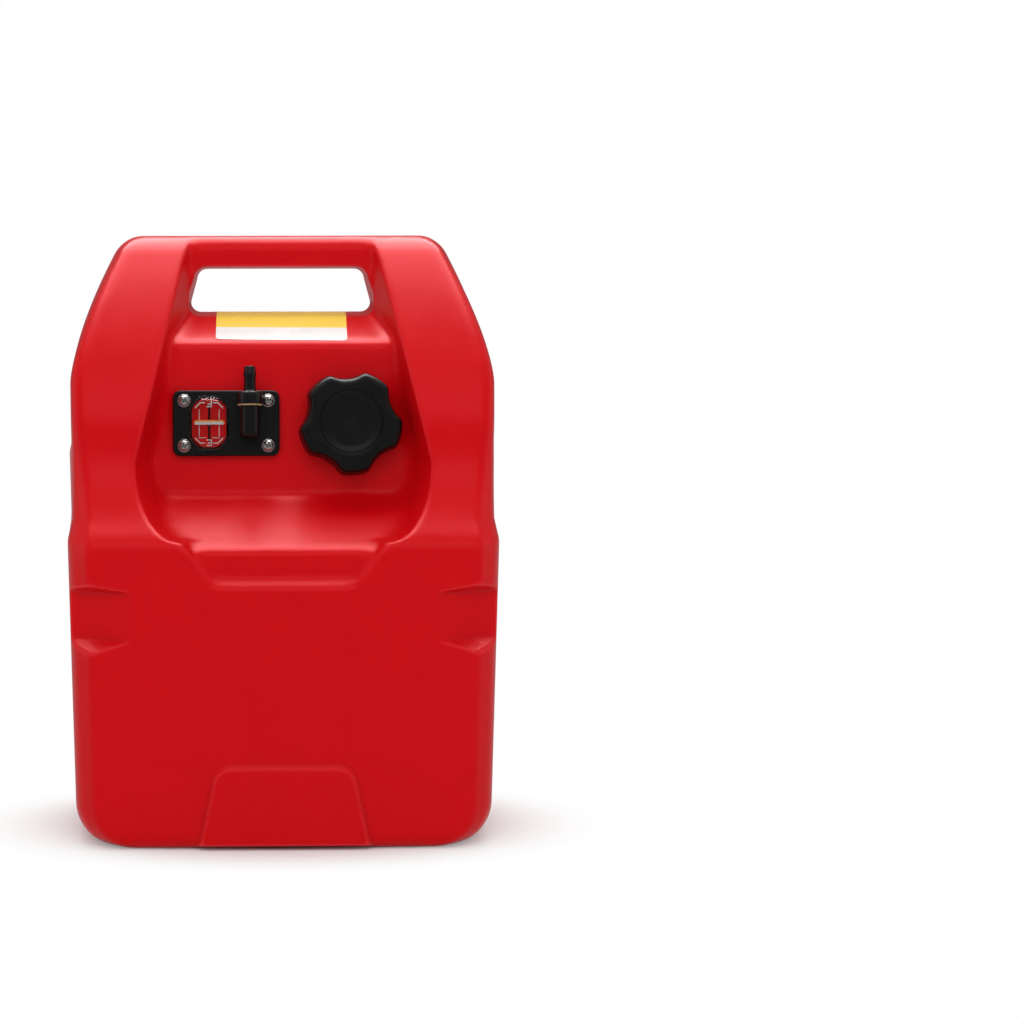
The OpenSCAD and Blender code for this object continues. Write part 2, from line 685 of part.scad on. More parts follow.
module elbow_body() {
    elbow_l = elbow_end + elbow_top;
    translate([0, -elbow_end, z_elbow]) rotate([-90, 0, 0]) rotate_extrude() {
        square([elbow_r - elbow_round, elbow_l]);
        translate([0, elbow_round]) square([elbow_r, elbow_l - elbow_round]);
        translate([elbow_r - elbow_round, elbow_round]) circle(elbow_round);
    }
    translate([foot_in - elbow_r, elbow_round - elbow_end, z_face - 1])
        cube([2 * (elbow_r - foot_in), elbow_l - elbow_round - foot_in, elbow_rise + 1]);
}

module gauge_plate() {
    color([0.12, 0.12, 0.12]) on_plate() difference() {
        union() {
            translate([0, 0, z_plate]) linear_extrude(plate_t) rounded_rect(plate_w, plate_h, plate_r);
            translate([elbow_x, 0, 0]) elbow_body();
            translate([elbow_x, elbow_low, z_plate - spigot_h]) cylinder(r = spigot_r, h = spigot_h + 1);
        }
        translate([-lens_x, 0, z_face - lens_pocket]) linear_extrude(lens_pocket + 1)
            lens_outline(-lens_flange - seat_clear);
        translate([-lens_x, 0, z_plate - 1]) linear_extrude(plate_t + 2) window_outline();
        screw_holes(screw_clear, z_plate - 1, z_face + 1);
        translate([elbow_x, elbow_low, z_plate - spigot_h - 1])
            cylinder(r = fuel_r, h = spigot_h + plate_t + elbow_rise + 1);
        translate([elbow_x, elbow_low, z_elbow]) rotate([-90, 0, 0])
            cylinder(r = fuel_r, h = elbow_top - elbow_low + 1);
        translate([elbow_x, elbow_top - socket_h, z_elbow]) rotate([-90, 0, 0])
            cylinder(r = socket_r + stem_clear, h = socket_h + 1);
    }
}

module lens_gasket() {
    color("dimgray") on_plate() translate([-lens_x, 0, z_face - lens_pocket])
        linear_extrude(lens_gasket_t) difference() {
            lens_outline(-lens_flange);
            window_outline();
        }
}

module gauge_lens() {
    z0 = z_face - lens_pocket + lens_gasket_t;
    z1 = z_face + lens_rise;
    color([0.9, 0.9, 0.95]) on_plate() translate([-lens_x, 0, 0]) difference() {
        loft([lens_ring(z0, -lens_flange), lens_ring(z_face + 0.5, -lens_flange), lens_ring(z_face + 1, 0),
            lens_ring(z1 - lens_t, lens_edge / 2), lens_ring(z1, lens_edge + lens_t)]);
        loft([lens_ring(z0 - 1, lens_edge), lens_ring(z1 - 2 * lens_t, lens_edge),
            lens_ring(z1 - lens_t, 2 * lens_edge)]);
    }
}

// Dial under the window, with an opening for the pointer
dial_t = 1.8;
dial_w = port_w - 2 * lens_x - 2 * move_clear;
dial_h = port_h - 2 * move_clear;
dial_slot_w = 4;
dial_slot_h = 30;
pointer_w = 23;
pointer_h = 2.4;
pointer_t = 1.2;
stem_w = 1.6;
pointer_r = pivot_depth + z_face + 0.4;
hub_l = 10;
hub_r = 4;
wire_end = 3;
pin_r = 1.5;
pin_head_t = 1;
cheek_t = 2;
cheek_w = 10;
cheek_gap = hub_l + 2 * move_clear;

module gauge_dial() {
    color("red") on_plate() translate([-lens_x, 0, z_plate - dial_t]) linear_extrude(dial_t) difference() {
        rounded_rect(dial_w, dial_h, port_r);
        square([dial_slot_w, dial_slot_h], center = true);
    }
}

// Two cheeks under the dial that hold the pivot pin
module gauge_bracket() {
    z0 = z_plate - dial_t;
    flange_t = 3;
    flange_in = 2;
    pin_reach = cheek_gap + 4 * cheek_t;
    color([0.25, 0.25, 0.25]) on_plate() translate([-lens_x, 0, 0]) difference() {
        union() {
            for (sx = [-1, 1])
                translate([sx * (cheek_gap + cheek_t) / 2, 0, 0]) rotate([90, 0, 90])
                    translate([0, 0, -cheek_t / 2]) linear_extrude(cheek_t) {
                        translate([-cheek_w / 2, -pivot_depth]) square([cheek_w, pivot_depth + z0 - 1]);
                        translate([0, -pivot_depth]) circle(cheek_w / 2);
                    }
            translate([0, 0, z0 - flange_t]) linear_extrude(flange_t) difference() {
                rounded_rect(dial_w - 2 * flange_in, dial_h - 2 * flange_in, port_r - flange_in);
                square([cheek_gap, dial_slot_h], center = true);
            }
        }
        translate([0, 0, -pivot_depth]) rotate([0, 90, 0])
            cylinder(r = pin_r + seat_clear, h = pin_reach, center = true);
    }
}

module at_pivot() { on_plate() translate([-lens_x, 0, -pivot_depth]) children(); }

module pivot_pin() {
    l = cheek_gap + 2 * cheek_t + 2 * pin_head_t;
    color("silver") at_pivot() rotate([0, 90, 0]) {
        cylinder(r = pin_r, h = l, center = true);
        translate([0, 0, l / 2 - pin_head_t]) cylinder(r = pin_r + 1, h = pin_head_t);
    }
}

// Arm: a hub on the pin and a wire that hangs straight down, bent across to carry the float
module float_arm() {
    color("silver") at_pivot() rotate([panel_tilt, 0, 0]) {
        difference() {
            union() {
                rotate([0, 90, 0]) cylinder(r = hub_r, h = hub_l, center = true);
                translate([0, -hub_r + 1, 0]) rotate([90, 0, 0]) cylinder(r = wire_r, h = arm_l - hub_r + 1);
                translate([0, -arm_l, 0]) rotate([0, 90, 0])
                    cylinder(r = wire_r, h = float_l + 2 * wire_end, center = true);
            }
            rotate([0, 90, 0]) cylinder(r = pin_r + run_clear, h = hub_l + 2, center = true);
        }
    }
}

module float() {
    slot = 2 * (wire_r + seat_clear);
    color("tan") at_pivot() rotate([panel_tilt, 0, 0]) translate([0, -arm_l, 0]) difference() {
        rotate([0, 90, 0]) cylinder(r = float_r, h = float_l, center = true);
        rotate([0, 90, 0]) cylinder(r = wire_r + seat_clear, h = float_l + 2, center = true);
        translate([-slot / 2, 0, -slot / 2]) cube([slot, float_r + 1, slot]);
    }
}

// Pointer: a stem from the hub through the dial's slot, with a bar under the lens
module gauge_pointer() {
    color("white") at_pivot() {
        difference() {
            translate([-stem_w / 2, -pointer_h / 2, 0]) cube([stem_w, pointer_h, pointer_r]);
            rotate([0, 90, 0]) cylinder(r = hub_r, h = hub_l, center = true);
        }
        translate([-pointer_w / 2, -pointer_h / 2, pointer_r - pointer_t])
            cube([pointer_w, pointer_h, pointer_t]);
    }
}

// Fasteners and fuel line

washer_t = 1;
washer_rim = 0.9;
head_r = 4.5;
head_h = 3.2;
screw_grip = 6;

module plate_screws() {
    color("lightgray") on_plate() at_screws() {
        translate([0, 0, -wall - screw_grip])
            cylinder(r = screw_r, h = wall + screw_grip + z_face + washer_t + head_h / 2);
        translate([0, 0, z_face + washer_t]) rotate_extrude() intersection() {
            square([head_r, head_h]);
            translate([0, head_h - 2 * head_r]) circle(2 * head_r);
        }
    }
}

module screw_washers() {
    color("gainsboro") on_plate() at_screws()
        tube(head_r + washer_rim, screw_r + screw_clear / 2, z_face, z_face + washer_t);
}

barb_washer_t = 1.2;
collar_rim = 3;
collar_gap = 0.3;
collar_r = min(elbow_r + collar_rim, elbow_rise - collar_gap);
collar_h = 10;
collar_chamfer = 1.2;
tip_h = 6;
crest_h = 2.5;
land_lead = 2;

// Frame at the top of the elbow, with Z along the barb
module on_elbow() {
    on_plate() translate([elbow_x, elbow_top, z_elbow]) rotate([-90, 0, 0]) children();
}

module barb_washer() {
    color("tan") on_elbow() tube(elbow_r + 2, socket_r + stem_clear, 0, barb_washer_t);
}

module hose_barb() {
    z0 = barb_washer_t;
    z1 = z0 + collar_h;
    z2 = z1 + barb_h;
    color([0.15, 0.15, 0.15]) on_elbow() rotate_extrude() polygon([
        [fuel_r, 1 - socket_h], [socket_r, 1 - socket_h], [socket_r, z0], [collar_r, z0],
        [collar_r, z1 - collar_chamfer], [collar_r - collar_chamfer, z1], [barb_r + barb_ridge, z1],
        [barb_r, z1 + land_lead], [barb_r, z2 - tip_h - crest_h], [barb_r + barb_ridge, z2 - tip_h - crest_h],
        [barb_r + barb_ridge, z2 - tip_h], [barb_r - barb_ridge, z2], [fuel_r, z2]]);
}

tube_bore = spigot_r + seat_clear;
tube_wall = 1.5;
tube_r = tube_bore + tube_wall;
strainer_grip = 8;
strainer_end = -(y_back - wall - strainer_gap - y_panel) / cos(panel_tilt);
tube_seat = 3;
tube_z0 = z_plate - tube_seat;
tube_z1 = strainer_end + strainer_l - strainer_grip;

module pickup_tube() {
    color("ivory") on_plate() translate([elbow_x, elbow_low, 0])
        tube(tube_r, tube_bore, tube_z1, tube_z0);
}

module pickup_strainer() {
    shell = 1.6;
    slot_w = 2.4;
    z0 = strainer_end;
    r = tube_r + seat_clear;
    color("white") on_plate() translate([elbow_x, elbow_low, 0]) difference() {
        translate([0, 0, z0]) cylinder(r = r + shell, h = strainer_l);
        translate([0, 0, tube_z1]) cylinder(r = r, h = 2 * strainer_grip);
        translate([0, 0, z0 + shell]) cylinder(r = tube_bore, h = strainer_l);
        for (a = [0, 60, 120])
            rotate(a) translate([-slot_w / 2, -2 * r, z0 + 2 * shell])
                cube([slot_w, 4 * r, tube_z1 - z0 - 3 * shell]);
    }
}

tank_body();
insert_nuts();
fill_cap();
cap_gasket();
vent_valve();
vent_spring();
vent_retainer();
gauge_gasket();
gauge_plate();
lens_gasket();
gauge_lens();
gauge_dial();
gauge_bracket();
pivot_pin();
float_arm();
float();
gauge_pointer();
plate_screws();
screw_washers();
barb_washer();
hose_barb();
pickup_tube();
pickup_strainer();
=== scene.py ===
"""Portable fuel tank: the dressed model that stands round the packed CAD frame.

Lengths are metres, X to the right, the front faces -Y, Z up. Sizes that come from a drawing are
written in millimetres and turned into metres by MM.
"""
import math

import bmesh
import bpy
import numpy as np
from bpy.props import FloatProperty, FloatVectorProperty, IntProperty, PointerProperty
from mathutils import Matrix, Vector
from mathutils.bvhtree import BVHTree


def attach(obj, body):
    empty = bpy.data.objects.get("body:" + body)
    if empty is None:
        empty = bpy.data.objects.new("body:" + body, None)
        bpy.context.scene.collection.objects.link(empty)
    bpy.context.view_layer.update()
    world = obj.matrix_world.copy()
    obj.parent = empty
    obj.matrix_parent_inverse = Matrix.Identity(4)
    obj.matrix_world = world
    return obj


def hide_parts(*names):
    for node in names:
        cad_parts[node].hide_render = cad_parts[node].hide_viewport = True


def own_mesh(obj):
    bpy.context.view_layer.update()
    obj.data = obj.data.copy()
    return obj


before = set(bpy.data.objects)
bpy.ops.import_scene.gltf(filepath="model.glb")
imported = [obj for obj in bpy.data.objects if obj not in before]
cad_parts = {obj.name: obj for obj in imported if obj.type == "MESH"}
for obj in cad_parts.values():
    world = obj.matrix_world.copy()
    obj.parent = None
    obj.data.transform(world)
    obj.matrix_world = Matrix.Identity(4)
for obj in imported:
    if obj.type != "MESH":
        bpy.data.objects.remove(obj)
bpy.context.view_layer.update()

bl_info = {
    "name": "Portable fuel tank",
    "version": (1, 0, 0),
    "blender": (4, 5, 0),
    "location": "3D View > Sidebar > Fuel tank",
    "description": "Builds a moulded fuel tank with its cap, gauge plate and stickers",
    "category": "Object",
}

MM = 0.001


# Properties


def length(name, description, mm):
    return FloatProperty(name=name, description=description, default=mm * MM, min=0.0,
                         unit="LENGTH", precision=4)


def number(name, description, default, low=0.0, **limits):
    return FloatProperty(name=name, description=description, default=default, min=low, **limits)


def angle(name, description, degrees):
    return FloatProperty(name=name, description=description, default=math.radians(degrees),
                         subtype="ANGLE")


def colour(name, description, rgb):
    return FloatVectorProperty(name=name, description=description, default=rgb, size=3,
                               subtype="COLOR", min=0.0, max=1.0)


class TankSizes(bpy.types.PropertyGroup):
    """Sizes of the moulded shell."""

    tank_w: length("Width", "Width over the sides, above the side step", 356)
    tank_d: length("Depth", "Depth over the front foot and the back pads", 225)
    lower_h: length("Shoulder height", "Height of the flat front face", 250)
    shelf_h: length("Shelf", "Height of the sloping shelf under the panel", 32)
    panel_h: length("Panel", "Height of the recessed panel", 126)
    ledge_h: length("Ledge", "Height of the ledge under the handle opening", 24)
    gap_h: length("Opening height", "Height of the handle opening", 36)
    bar_h: length("Bar height", "Height of the handle bar", 28)
    wall: length("Wall", "Wall thickness of the shell", 3.5)
    base_taper: length("Base taper", "Inset of each side at the base", 8.5)
    top_taper: length("Top taper", "Inset of each side at the top", 45.5)
    top_taper_h: length("Top taper height", "Height over which the sides close in", 120)
    side_step: length("Side step", "How far the lower sides stand out", 4)
    side_draft: length("Side draft", "Draw of each side from the parting line", 4)
    corner_r: length("Corner radius", "Radius of the lower corners", 34)
    top_r: length("Top radius", "Radius of the upper corners", 14)
    base_edge_r: length("Base edge", "Radius of the base edges", 12)
    front_bevel: length("Front bevel", "Width of the bevel round the front", 17)
    back_bevel: length("Back bevel", "Width of the bevel round the back", 13)
    horn_set: length("Upper front", "How far the upper front stands back", 41)
    horn_curve_h: length("Upper curve", "Height of the curve above the shoulder", 86)
    panel_set: length("Panel depth", "How far the panel lies behind the front", 79)
    fit_drop: length("Fittings", "How far the fittings sit below the panel's middle", 3.5)
    panel_tilt: angle("Panel tilt", "Lean of the panel away from upright", 6)
    recess_w: length("Recess width", "Width between the ridges at the widest", 242)
    recess_top_w: length("Recess top", "Width between the ridges at the top", 156)
    recess_draft: number("Recess draft", "Slant of the recess walls, run over depth", 0.35, max=1.0)
    gap_w: length("Opening width", "Width of the handle opening at its foot", 152)
    gap_lean: length("Opening lean", "How much narrower the opening is at its top", 11)
    gap_r: length("Opening radius", "Corner radius of the handle opening", 8)
    gap_flare: length("Opening flare", "Flare of the opening towards both faces", 2.5)
    bar_d: length("Bar depth", "Depth of the handle bar", 36)
    parting_set: length("Parting line", "Distance of the parting line from the back", 67.5)
    notch_d: length("Notch depth", "Depth of the notch in the shoulder", 8)
    notch_h: length("Notch height", "Height of the notch in the shoulder", 32)
    notch_w: length("Notch width", "Width of the notch at its top", 166)
    notch_taper: length("Notch taper", "Inset of the notch's sides at its foot", 22)
    strap_z: length("Strap height", "Height of the strap groove's lower edge", 169)
    strap_h: length("Strap groove", "Height of the strap groove", 56)
    strap_d: length("Groove depth", "Depth of the strap groove", 16)
    strap_low_slope: length("Groove foot", "Height of the groove's lower slope", 13)
    strap_top_slope: length("Groove top", "Height of the groove's upper slope", 11)
    side_notch_x: length("Strap notch place", "Distance of the strap notches from the middle", 121)
    side_notch_d: length("Strap notch depth", "Depth of the strap notches at the side", 26)
    foot_d: length("Foot relief", "How far the front foot stands out", 3.5)
    foot_h: length("Foot height", "Height of the front foot", 69)
    foot_w: length("Foot width", "Width of the front foot at the base", 140)
    foot_taper: length("Foot taper", "Inset of the foot's sides at its top", 11)
    trap_h: length("Back recess", "Height of the recess above the groove", 31)
    trap_w: length("Back recess width", "Width of the recess above the groove at its top", 148)
    trap_taper: length("Back recess taper", "Inset of that recess's sides at the groove", 15)
    trap_d: length("Back recess depth", "Depth of the recesses in the back", 2)
    pad_d: length("Pad relief", "How far the back pads stand out", 2.5)
    pad_w: length("Pad width", "Width of a back pad", 36)
    pad_h: length("Pad height", "Height of a back pad", 72)
    pad_x: length("Pad place", "Distance of the pads from the middle", 118)
    pad_low_z: length("Lower pads", "Height of the middle of the lower pads", 78)
    pad_top_z: length("Upper pads", "Height of the upper pads above the shoulder", 67)
    voxel: length("Mesh size", "Size of the shell's mesh", 1.6)
    soften: IntProperty(name="Softening", description="Rounds of smoothing of the moulded edges",
                        default=3, min=0, max=60)


class CapSizes(bpy.types.PropertyGroup):
    """Sizes of the filler neck and the cap."""

    cap_x: length("Place", "Distance of the filler from the middle", 56)
    cap_drop: length("Drop", "Distance of the filler below the gauge plate's middle", 0)
    bore_r: length("Bore", "Radius of the neck's bore", 24)
    neck_wall: length("Neck wall", "Wall of the neck", 5)
    neck_h: length("Neck height", "Height of the neck above the panel", 20)
    thread_pitch: length("Thread pitch", "Rise of the thread for one turn", 8)
    thread_h: length("Thread height", "Height of the thread over the neck", 0.75)
    skirt_clear: length("Skirt clearance", "Room between the neck and the cap", 1)
    cap_r: length("Cap radius", "Radius of the cap over its lobes", 42.5)
    lobe_d: length("Lobe depth", "Depth of the hollows between the lobes", 6.5)
    hollow_w: length("Hollow width", "Width of a hollow across its mouth", 29)
    lobe_turn: angle("Lobe turn", "Turn of the lobes when the cap is tight", 4.5)
    lobes: IntProperty(name="Lobes", description="Number of lobes", default=5, min=3, max=9)
    cap_lift: length("Gap", "Gap between the skirt and the panel", 2.5)
    cap_top: length("Top", "Thickness of the cap's top", 4)
    dish_d: length("Dish depth", "Depth of the dished top", 2.5)
    dish_r: length("Dish radius", "Radius of the dished top", 26)
    gasket_t: length("Gasket", "Thickness of the cap's gasket", 2.5)
    vent_r: length("Vent bore", "Radius of the vent's bore", 6.2)
    vent_boss_h: length("Vent boss", "Length of the vent's boss", 12.5)


class GaugeSizes(bpy.types.PropertyGroup):
    """Sizes of the gauge plate and what it carries."""

    plate_w: length("Plate width", "Width of the plate", 88)
    plate_h: length("Plate height", "Height of the plate", 54)
    plate_t: length("Plate thickness", "Thickness of the plate", 5)
    plate_r: length("Plate corners", "Corner radius of the plate", 6)
    plate_x: length("Plate place", "Distance of the plate from the middle", 46.5)
    gasket_t: length("Gasket", "Thickness of the gasket under the plate", 2)
    screw_dx: length("Screws across", "Distance between the screws across", 69.2)
    screw_dy: length("Screws up", "Distance between the screws up", 37.2)
    port_w: length("Port width", "Width of the opening behind the plate", 58)
    port_h: length("Port height", "Height of the opening behind the plate", 41)
    lens_x: length("Lens place", "Distance of the lens from the plate's middle", 14)
    lens_w: length("Lens width", "Width of the lens", 32)
    lens_h: length("Lens height", "Height of the lens", 43.5)
    lens_rise: length("Lens rise", "Height of the lens above the plate", 7)
    lens_chamfer: length("Lens corners", "Cut of the lens's corners", 9)
    elbow_x: length("Elbow place", "Distance of the elbow from the plate's middle", 19.5)
    elbow_r: length("Elbow radius", "Radius of the elbow", 8.2)
    elbow_rise: length("Elbow rise", "Height of the elbow's axis above the plate", 11)
    elbow_end: length("Elbow end", "Distance of the closed end below the middle", 12)
    elbow_top: length("Elbow top", "Distance of the open end above the middle", 14)
    fuel_r: length("Fuel passage", "Radius of the fuel passage", 3.2)
    barb_r: length("Barb radius", "Radius of the hose land", 4.8)
    barb_ridge: length("Barb ridge", "Height of the barb's ridges", 0.5)
    barb_h: length("Barb length", "Length of the barb above its collar", 21)
    line_w: length("Line width", "Width of the gauge's printed lines", 1.05)


class LabelSizes(bpy.types.PropertyGroup):
    """Sizes of the two stickers on the ledges."""

    front_w: length("Front width", "Width of the front sticker", 109)
    back_w: length("Back width", "Width of the back sticker", 114)
    corner_r: length("Corners", "Corner radius of the stickers", 3)
    film_t: length("Film", "Thickness of the film", 0.14)
    lift: length("Lift", "Lift of the front sticker's loose corner", 0.9)


class Finishes(bpy.types.PropertyGroup):
    """Colours of the pieces."""

    tank_red: colour("Tank red", "Colour of the shell", (0.57, 0.0016, 0.0042))
    tank_deep: colour("Tank red, deep", "Darker shade in the shell's mottle", (0.55, 0.0015, 0.0040))
    # painted shade: a darker red laid into the shell's creases, where shade falls
    painted_crease_shade: colour("Tank red, creases", "Colour of the shell in its creases", (0.30, 0.0008, 0.0030))
    # painted highlight: a paler red laid along the shell's convex ridges
    painted_ridge_highlight: colour("Tank red, edges", "Colour of the shell on its ridges", (0.74, 0.035, 0.045))
    cap_black: colour("Cap black", "Colour of the cap", (0.0034, 0.0028, 0.0028))
    plate_black: colour("Plate black", "Colour of the plate and the barb", (0.0014, 0.0012, 0.0012))
    worn_black: colour("Worn black", "Colour of black edges", (0.012, 0.011, 0.011))
    dial_red: colour("Dial red", "Colour of the dial", (0.85, 0.003, 0.005))
    print_white: colour("White print", "Colour of the printed marks", (0.82, 0.80, 0.78))
    orange: colour("Orange", "Colour of the pointer's flag", (0.90, 0.29, 0.02))
    sticker_white: colour("Sticker white", "Colour of the front sticker's paper", (0.75, 0.73, 0.71))
    sticker_yellow: colour("Sticker yellow", "Colour of the front sticker's band", (0.88, 0.60, 0.07))
    sticker_back: colour("Back sticker", "Colour of the back sticker's paper", (0.52, 0.51, 0.50))
    steel: colour("Steel", "Colour of the screws and wires", (0.48, 0.47, 0.46))
    brass: colour("Brass", "Colour of the inserts", (0.58, 0.40, 0.14))
    rubber: colour("Rubber", "Colour of the gaskets", (0.018, 0.018, 0.018))
    tan: colour("Tan", "Colour of the fibre washer and the float", (0.42, 0.28, 0.13))
    valve: colour("Valve", "Colour of the vent valve", (0.18, 0.07, 0.03))
    ivory: colour("Ivory", "Colour of the pickup", (0.66, 0.62, 0.50))


class StageSizes(bpy.types.PropertyGroup):
    """Camera and lights."""

    distance: length("Distance", "Distance of the camera from the tank's middle", 2300)
    elevation: angle("Elevation", "Height of the camera above the tank's middle", 6)
    azimuth: angle("Azimuth", "Turn of the camera to the tank's right", -1)
    roll: angle("Roll", "Roll of the camera", -0.1)
    lens: number("Lens", "Focal length in millimetres", 96.1, low=1.0)
    frame_x: number("Frame x", "Place of the tank's middle across the picture", 282.0 / 1024.0,
                    subtype="FACTOR", max=1.0)
    frame_y: number("Frame y", "Place of the tank's middle down the picture", 532.0 / 1024.0,
                    subtype="FACTOR", max=1.0)
    world_side: number("Side light", "Strength of the room's light from both sides", 0.38)
    world_front: number("Front light", "Strength of the room's light from front and back", 0.82)
    world_sheen: number("Sheen", "What gloss sees at both sides of the tank", 0.45)
    world_dim: number("Dim wall", "What gloss sees in front of the tank and behind it", 0.15)
    world_top: number("Top light", "What the room's light gains upwards", 0.4)


SETTINGS = {"tank": TankSizes, "cap": CapSizes, "gauge": GaugeSizes, "label": LabelSizes,
            "finish": Finishes, "stage": StageSizes}


def settings(name):
    return getattr(bpy.context.scene, "fuel_tank_" + name)


# Mesh tools


def ramp(v, a, b):
    return np.clip((v - a) / (b - a), 0.0, 1.0)


def mix(a, b, t):
    return a + (b - a) * t


def round_in(d, r):
    d = np.clip(d, 0.0, r)
    return r - np.sqrt(r * r - (r - d) ** 2)


def mesh_piece(name, points, faces):
    mesh = bpy.data.meshes.new(name)
    mesh.from_pydata([tuple(p) for p in points], [], faces)
    piece = bpy.data.objects.new(name, mesh)
    bpy.context.scene.collection.objects.link(piece)
    work = bmesh.new()
    work.from_mesh(mesh)
    bmesh.ops.recalc_face_normals(work, faces=work.faces)
    work.to_mesh(mesh)
    work.free()
    return piece


def bands(count, steps, closed=False):
    """Faces between rings of equal steps, and from the last ring to the first where they close."""
    faces = []
    for i in range(count if closed else count - 1):
        low, high = i * steps, (i + 1) % count * steps
        for j in range(steps):
            k = (j + 1) % steps
            faces.append((low + j, low + k, high + k, high + j))
    return faces


def fan(middle, start, steps):
    """Faces from a middle point to a ring."""
    return [(middle, start + j, start + (j + 1) % steps) for j in range(steps)]


def loft(name, rings, closed=False):
    """A solid through rings of equal steps, with capped ends unless its last ring joins its first."""
    rings = np.asarray(rings, dtype=float)
    count, steps = rings.shape[0], rings.shape[1]
    points = list(rings.reshape(-1, 3))
    faces = bands(count, steps, closed)
    if not closed:
        for ring, start in ((rings[0], 0), (rings[-1], (count - 1) * steps)):
            faces += fan(len(points), start, steps)
            points.append(ring.mean(axis=0))
    return mesh_piece(name, points, faces)


def circle(steps):
    """A circle of radius 1 as an array of x and y."""
    turn = np.linspace(0.0, 2.0 * math.pi, steps, endpoint=False)
    return np.stack([np.cos(turn), np.sin(turn)], axis=1)


def at_height(ring, z):
    return np.column_stack([ring, np.full(len(ring), z)])


def prism(name, ring, *heights):
    """A solid with one outline at all its heights."""
    return loft(name, [at_height(ring, z) for z in heights])


def lathe(name, profile, steps):
    """A solid of revolution about Z through a closed profile of radius and height."""
    return loft(name, [at_height(r * circle(steps), z) for r, z in profile], closed=True)


def rounded_profile(corners, radius, steps=4):
    """A closed profile of radius and height with its corners rounded."""
    points = []
    for i, corner in enumerate(corners):
        c = np.array(corner[:2], dtype=float)
        a = np.array(corners[i - 1][:2]) - c
        b = np.array(corners[(i + 1) % len(corners)][:2]) - c
        r = corner[2] if len(corner) > 2 else radius
        if r == 0.0:
            points.append(tuple(c))
            continue
        p = c + a * min(0.45, r / np.linalg.norm(a))
        q = c + b * min(0.45, r / np.linalg.norm(b))
        for t in np.linspace(0.0, 1.0, steps):
            points.append(tuple((1 - t) ** 2 * p + 2 * t * (1 - t) * c + t * t * q))
    return points


def outline(width, height, radius, steps=8):
    """A rounded rectangle as an array of x and y."""
    points = []
    for sx, sy, start in ((1, 1, 0), (-1, 1, 90), (-1, -1, 180), (1, -1, 270)):
        for t in np.linspace(0.0, 90.0, steps):
            a = math.radians(start + t)
            points.append((sx * (width / 2 - radius) + radius * math.cos(a),
                           sy * (height / 2 - radius) + radius * math.sin(a)))
    return np.array(points)


def place(piece, matrix):
    piece.data.transform(matrix)
    return piece


def apply_modifiers(piece):
    graph = bpy.context.evaluated_depsgraph_get()
    mesh = bpy.data.meshes.new_from_object(piece.evaluated_get(graph))
    old = piece.data
    piece.modifiers.clear()
    piece.data = mesh
    bpy.data.meshes.remove(old)
    mesh.name = piece.name


def combine(piece, others, operation):
    """Joins solids to a piece or cuts them from it, and removes them."""
    for other in others:
        modifier = piece.modifiers.new("Combine", "BOOLEAN")
        modifier.operation = operation
        modifier.solver = "MANIFOLD"
        modifier.object = other
    apply_modifiers(piece)
    for other in others:
        bpy.data.objects.remove(other)


def mould(piece, voxel, rounds):
    """An even mesh with its edges softened, as moulding leaves them."""
    remesh = piece.modifiers.new("Even mesh", "REMESH")
    remesh.mode = "VOXEL"
    remesh.voxel_size = voxel
    smooth = piece.modifiers.new("Soften", "SMOOTH")
    smooth.factor = 0.5
    smooth.iterations = rounds
    apply_modifiers(piece)


def shade(piece, degrees):
    mesh = piece.data
    mesh.polygons.foreach_set("use_smooth", [True] * len(mesh.polygons))
    mesh.set_sharp_from_angle(angle=math.radians(degrees))


def join(name, parts):
    """One piece from several solids, which aren't merged."""
    work = bmesh.new()
    for part in parts:
        work.from_mesh(part.data)
        bpy.data.objects.remove(part)
    mesh = bpy.data.meshes.new(name)
    work.to_mesh(mesh)
    work.free()
    piece = bpy.data.objects.new(name, mesh)
    bpy.context.scene.collection.objects.link(piece)
    return piece


def dress(piece, material, body, slot, *nodes):
    """Gives a piece its finish, hides the CAD nodes that it stands for and puts it on the body that it
    rides on.
    """
    piece.data.materials.clear()
    piece.data.materials.append(material)
    if nodes:
        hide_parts(*nodes)
    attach(piece, body)


def set_up(piece, at, degrees, material, body, slot, *nodes):
    """Puts a piece in its place, shades it and dresses it."""
    place(piece, at)
    shade(piece, degrees)
    dress(piece, material, body, slot, *nodes)


def paint(material, *nodes):
    """Gives CAD nodes a finish."""
    for node in nodes:
        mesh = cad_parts[node].data
        mesh.materials.clear()
        mesh.materials.append(material)


# The shell's form


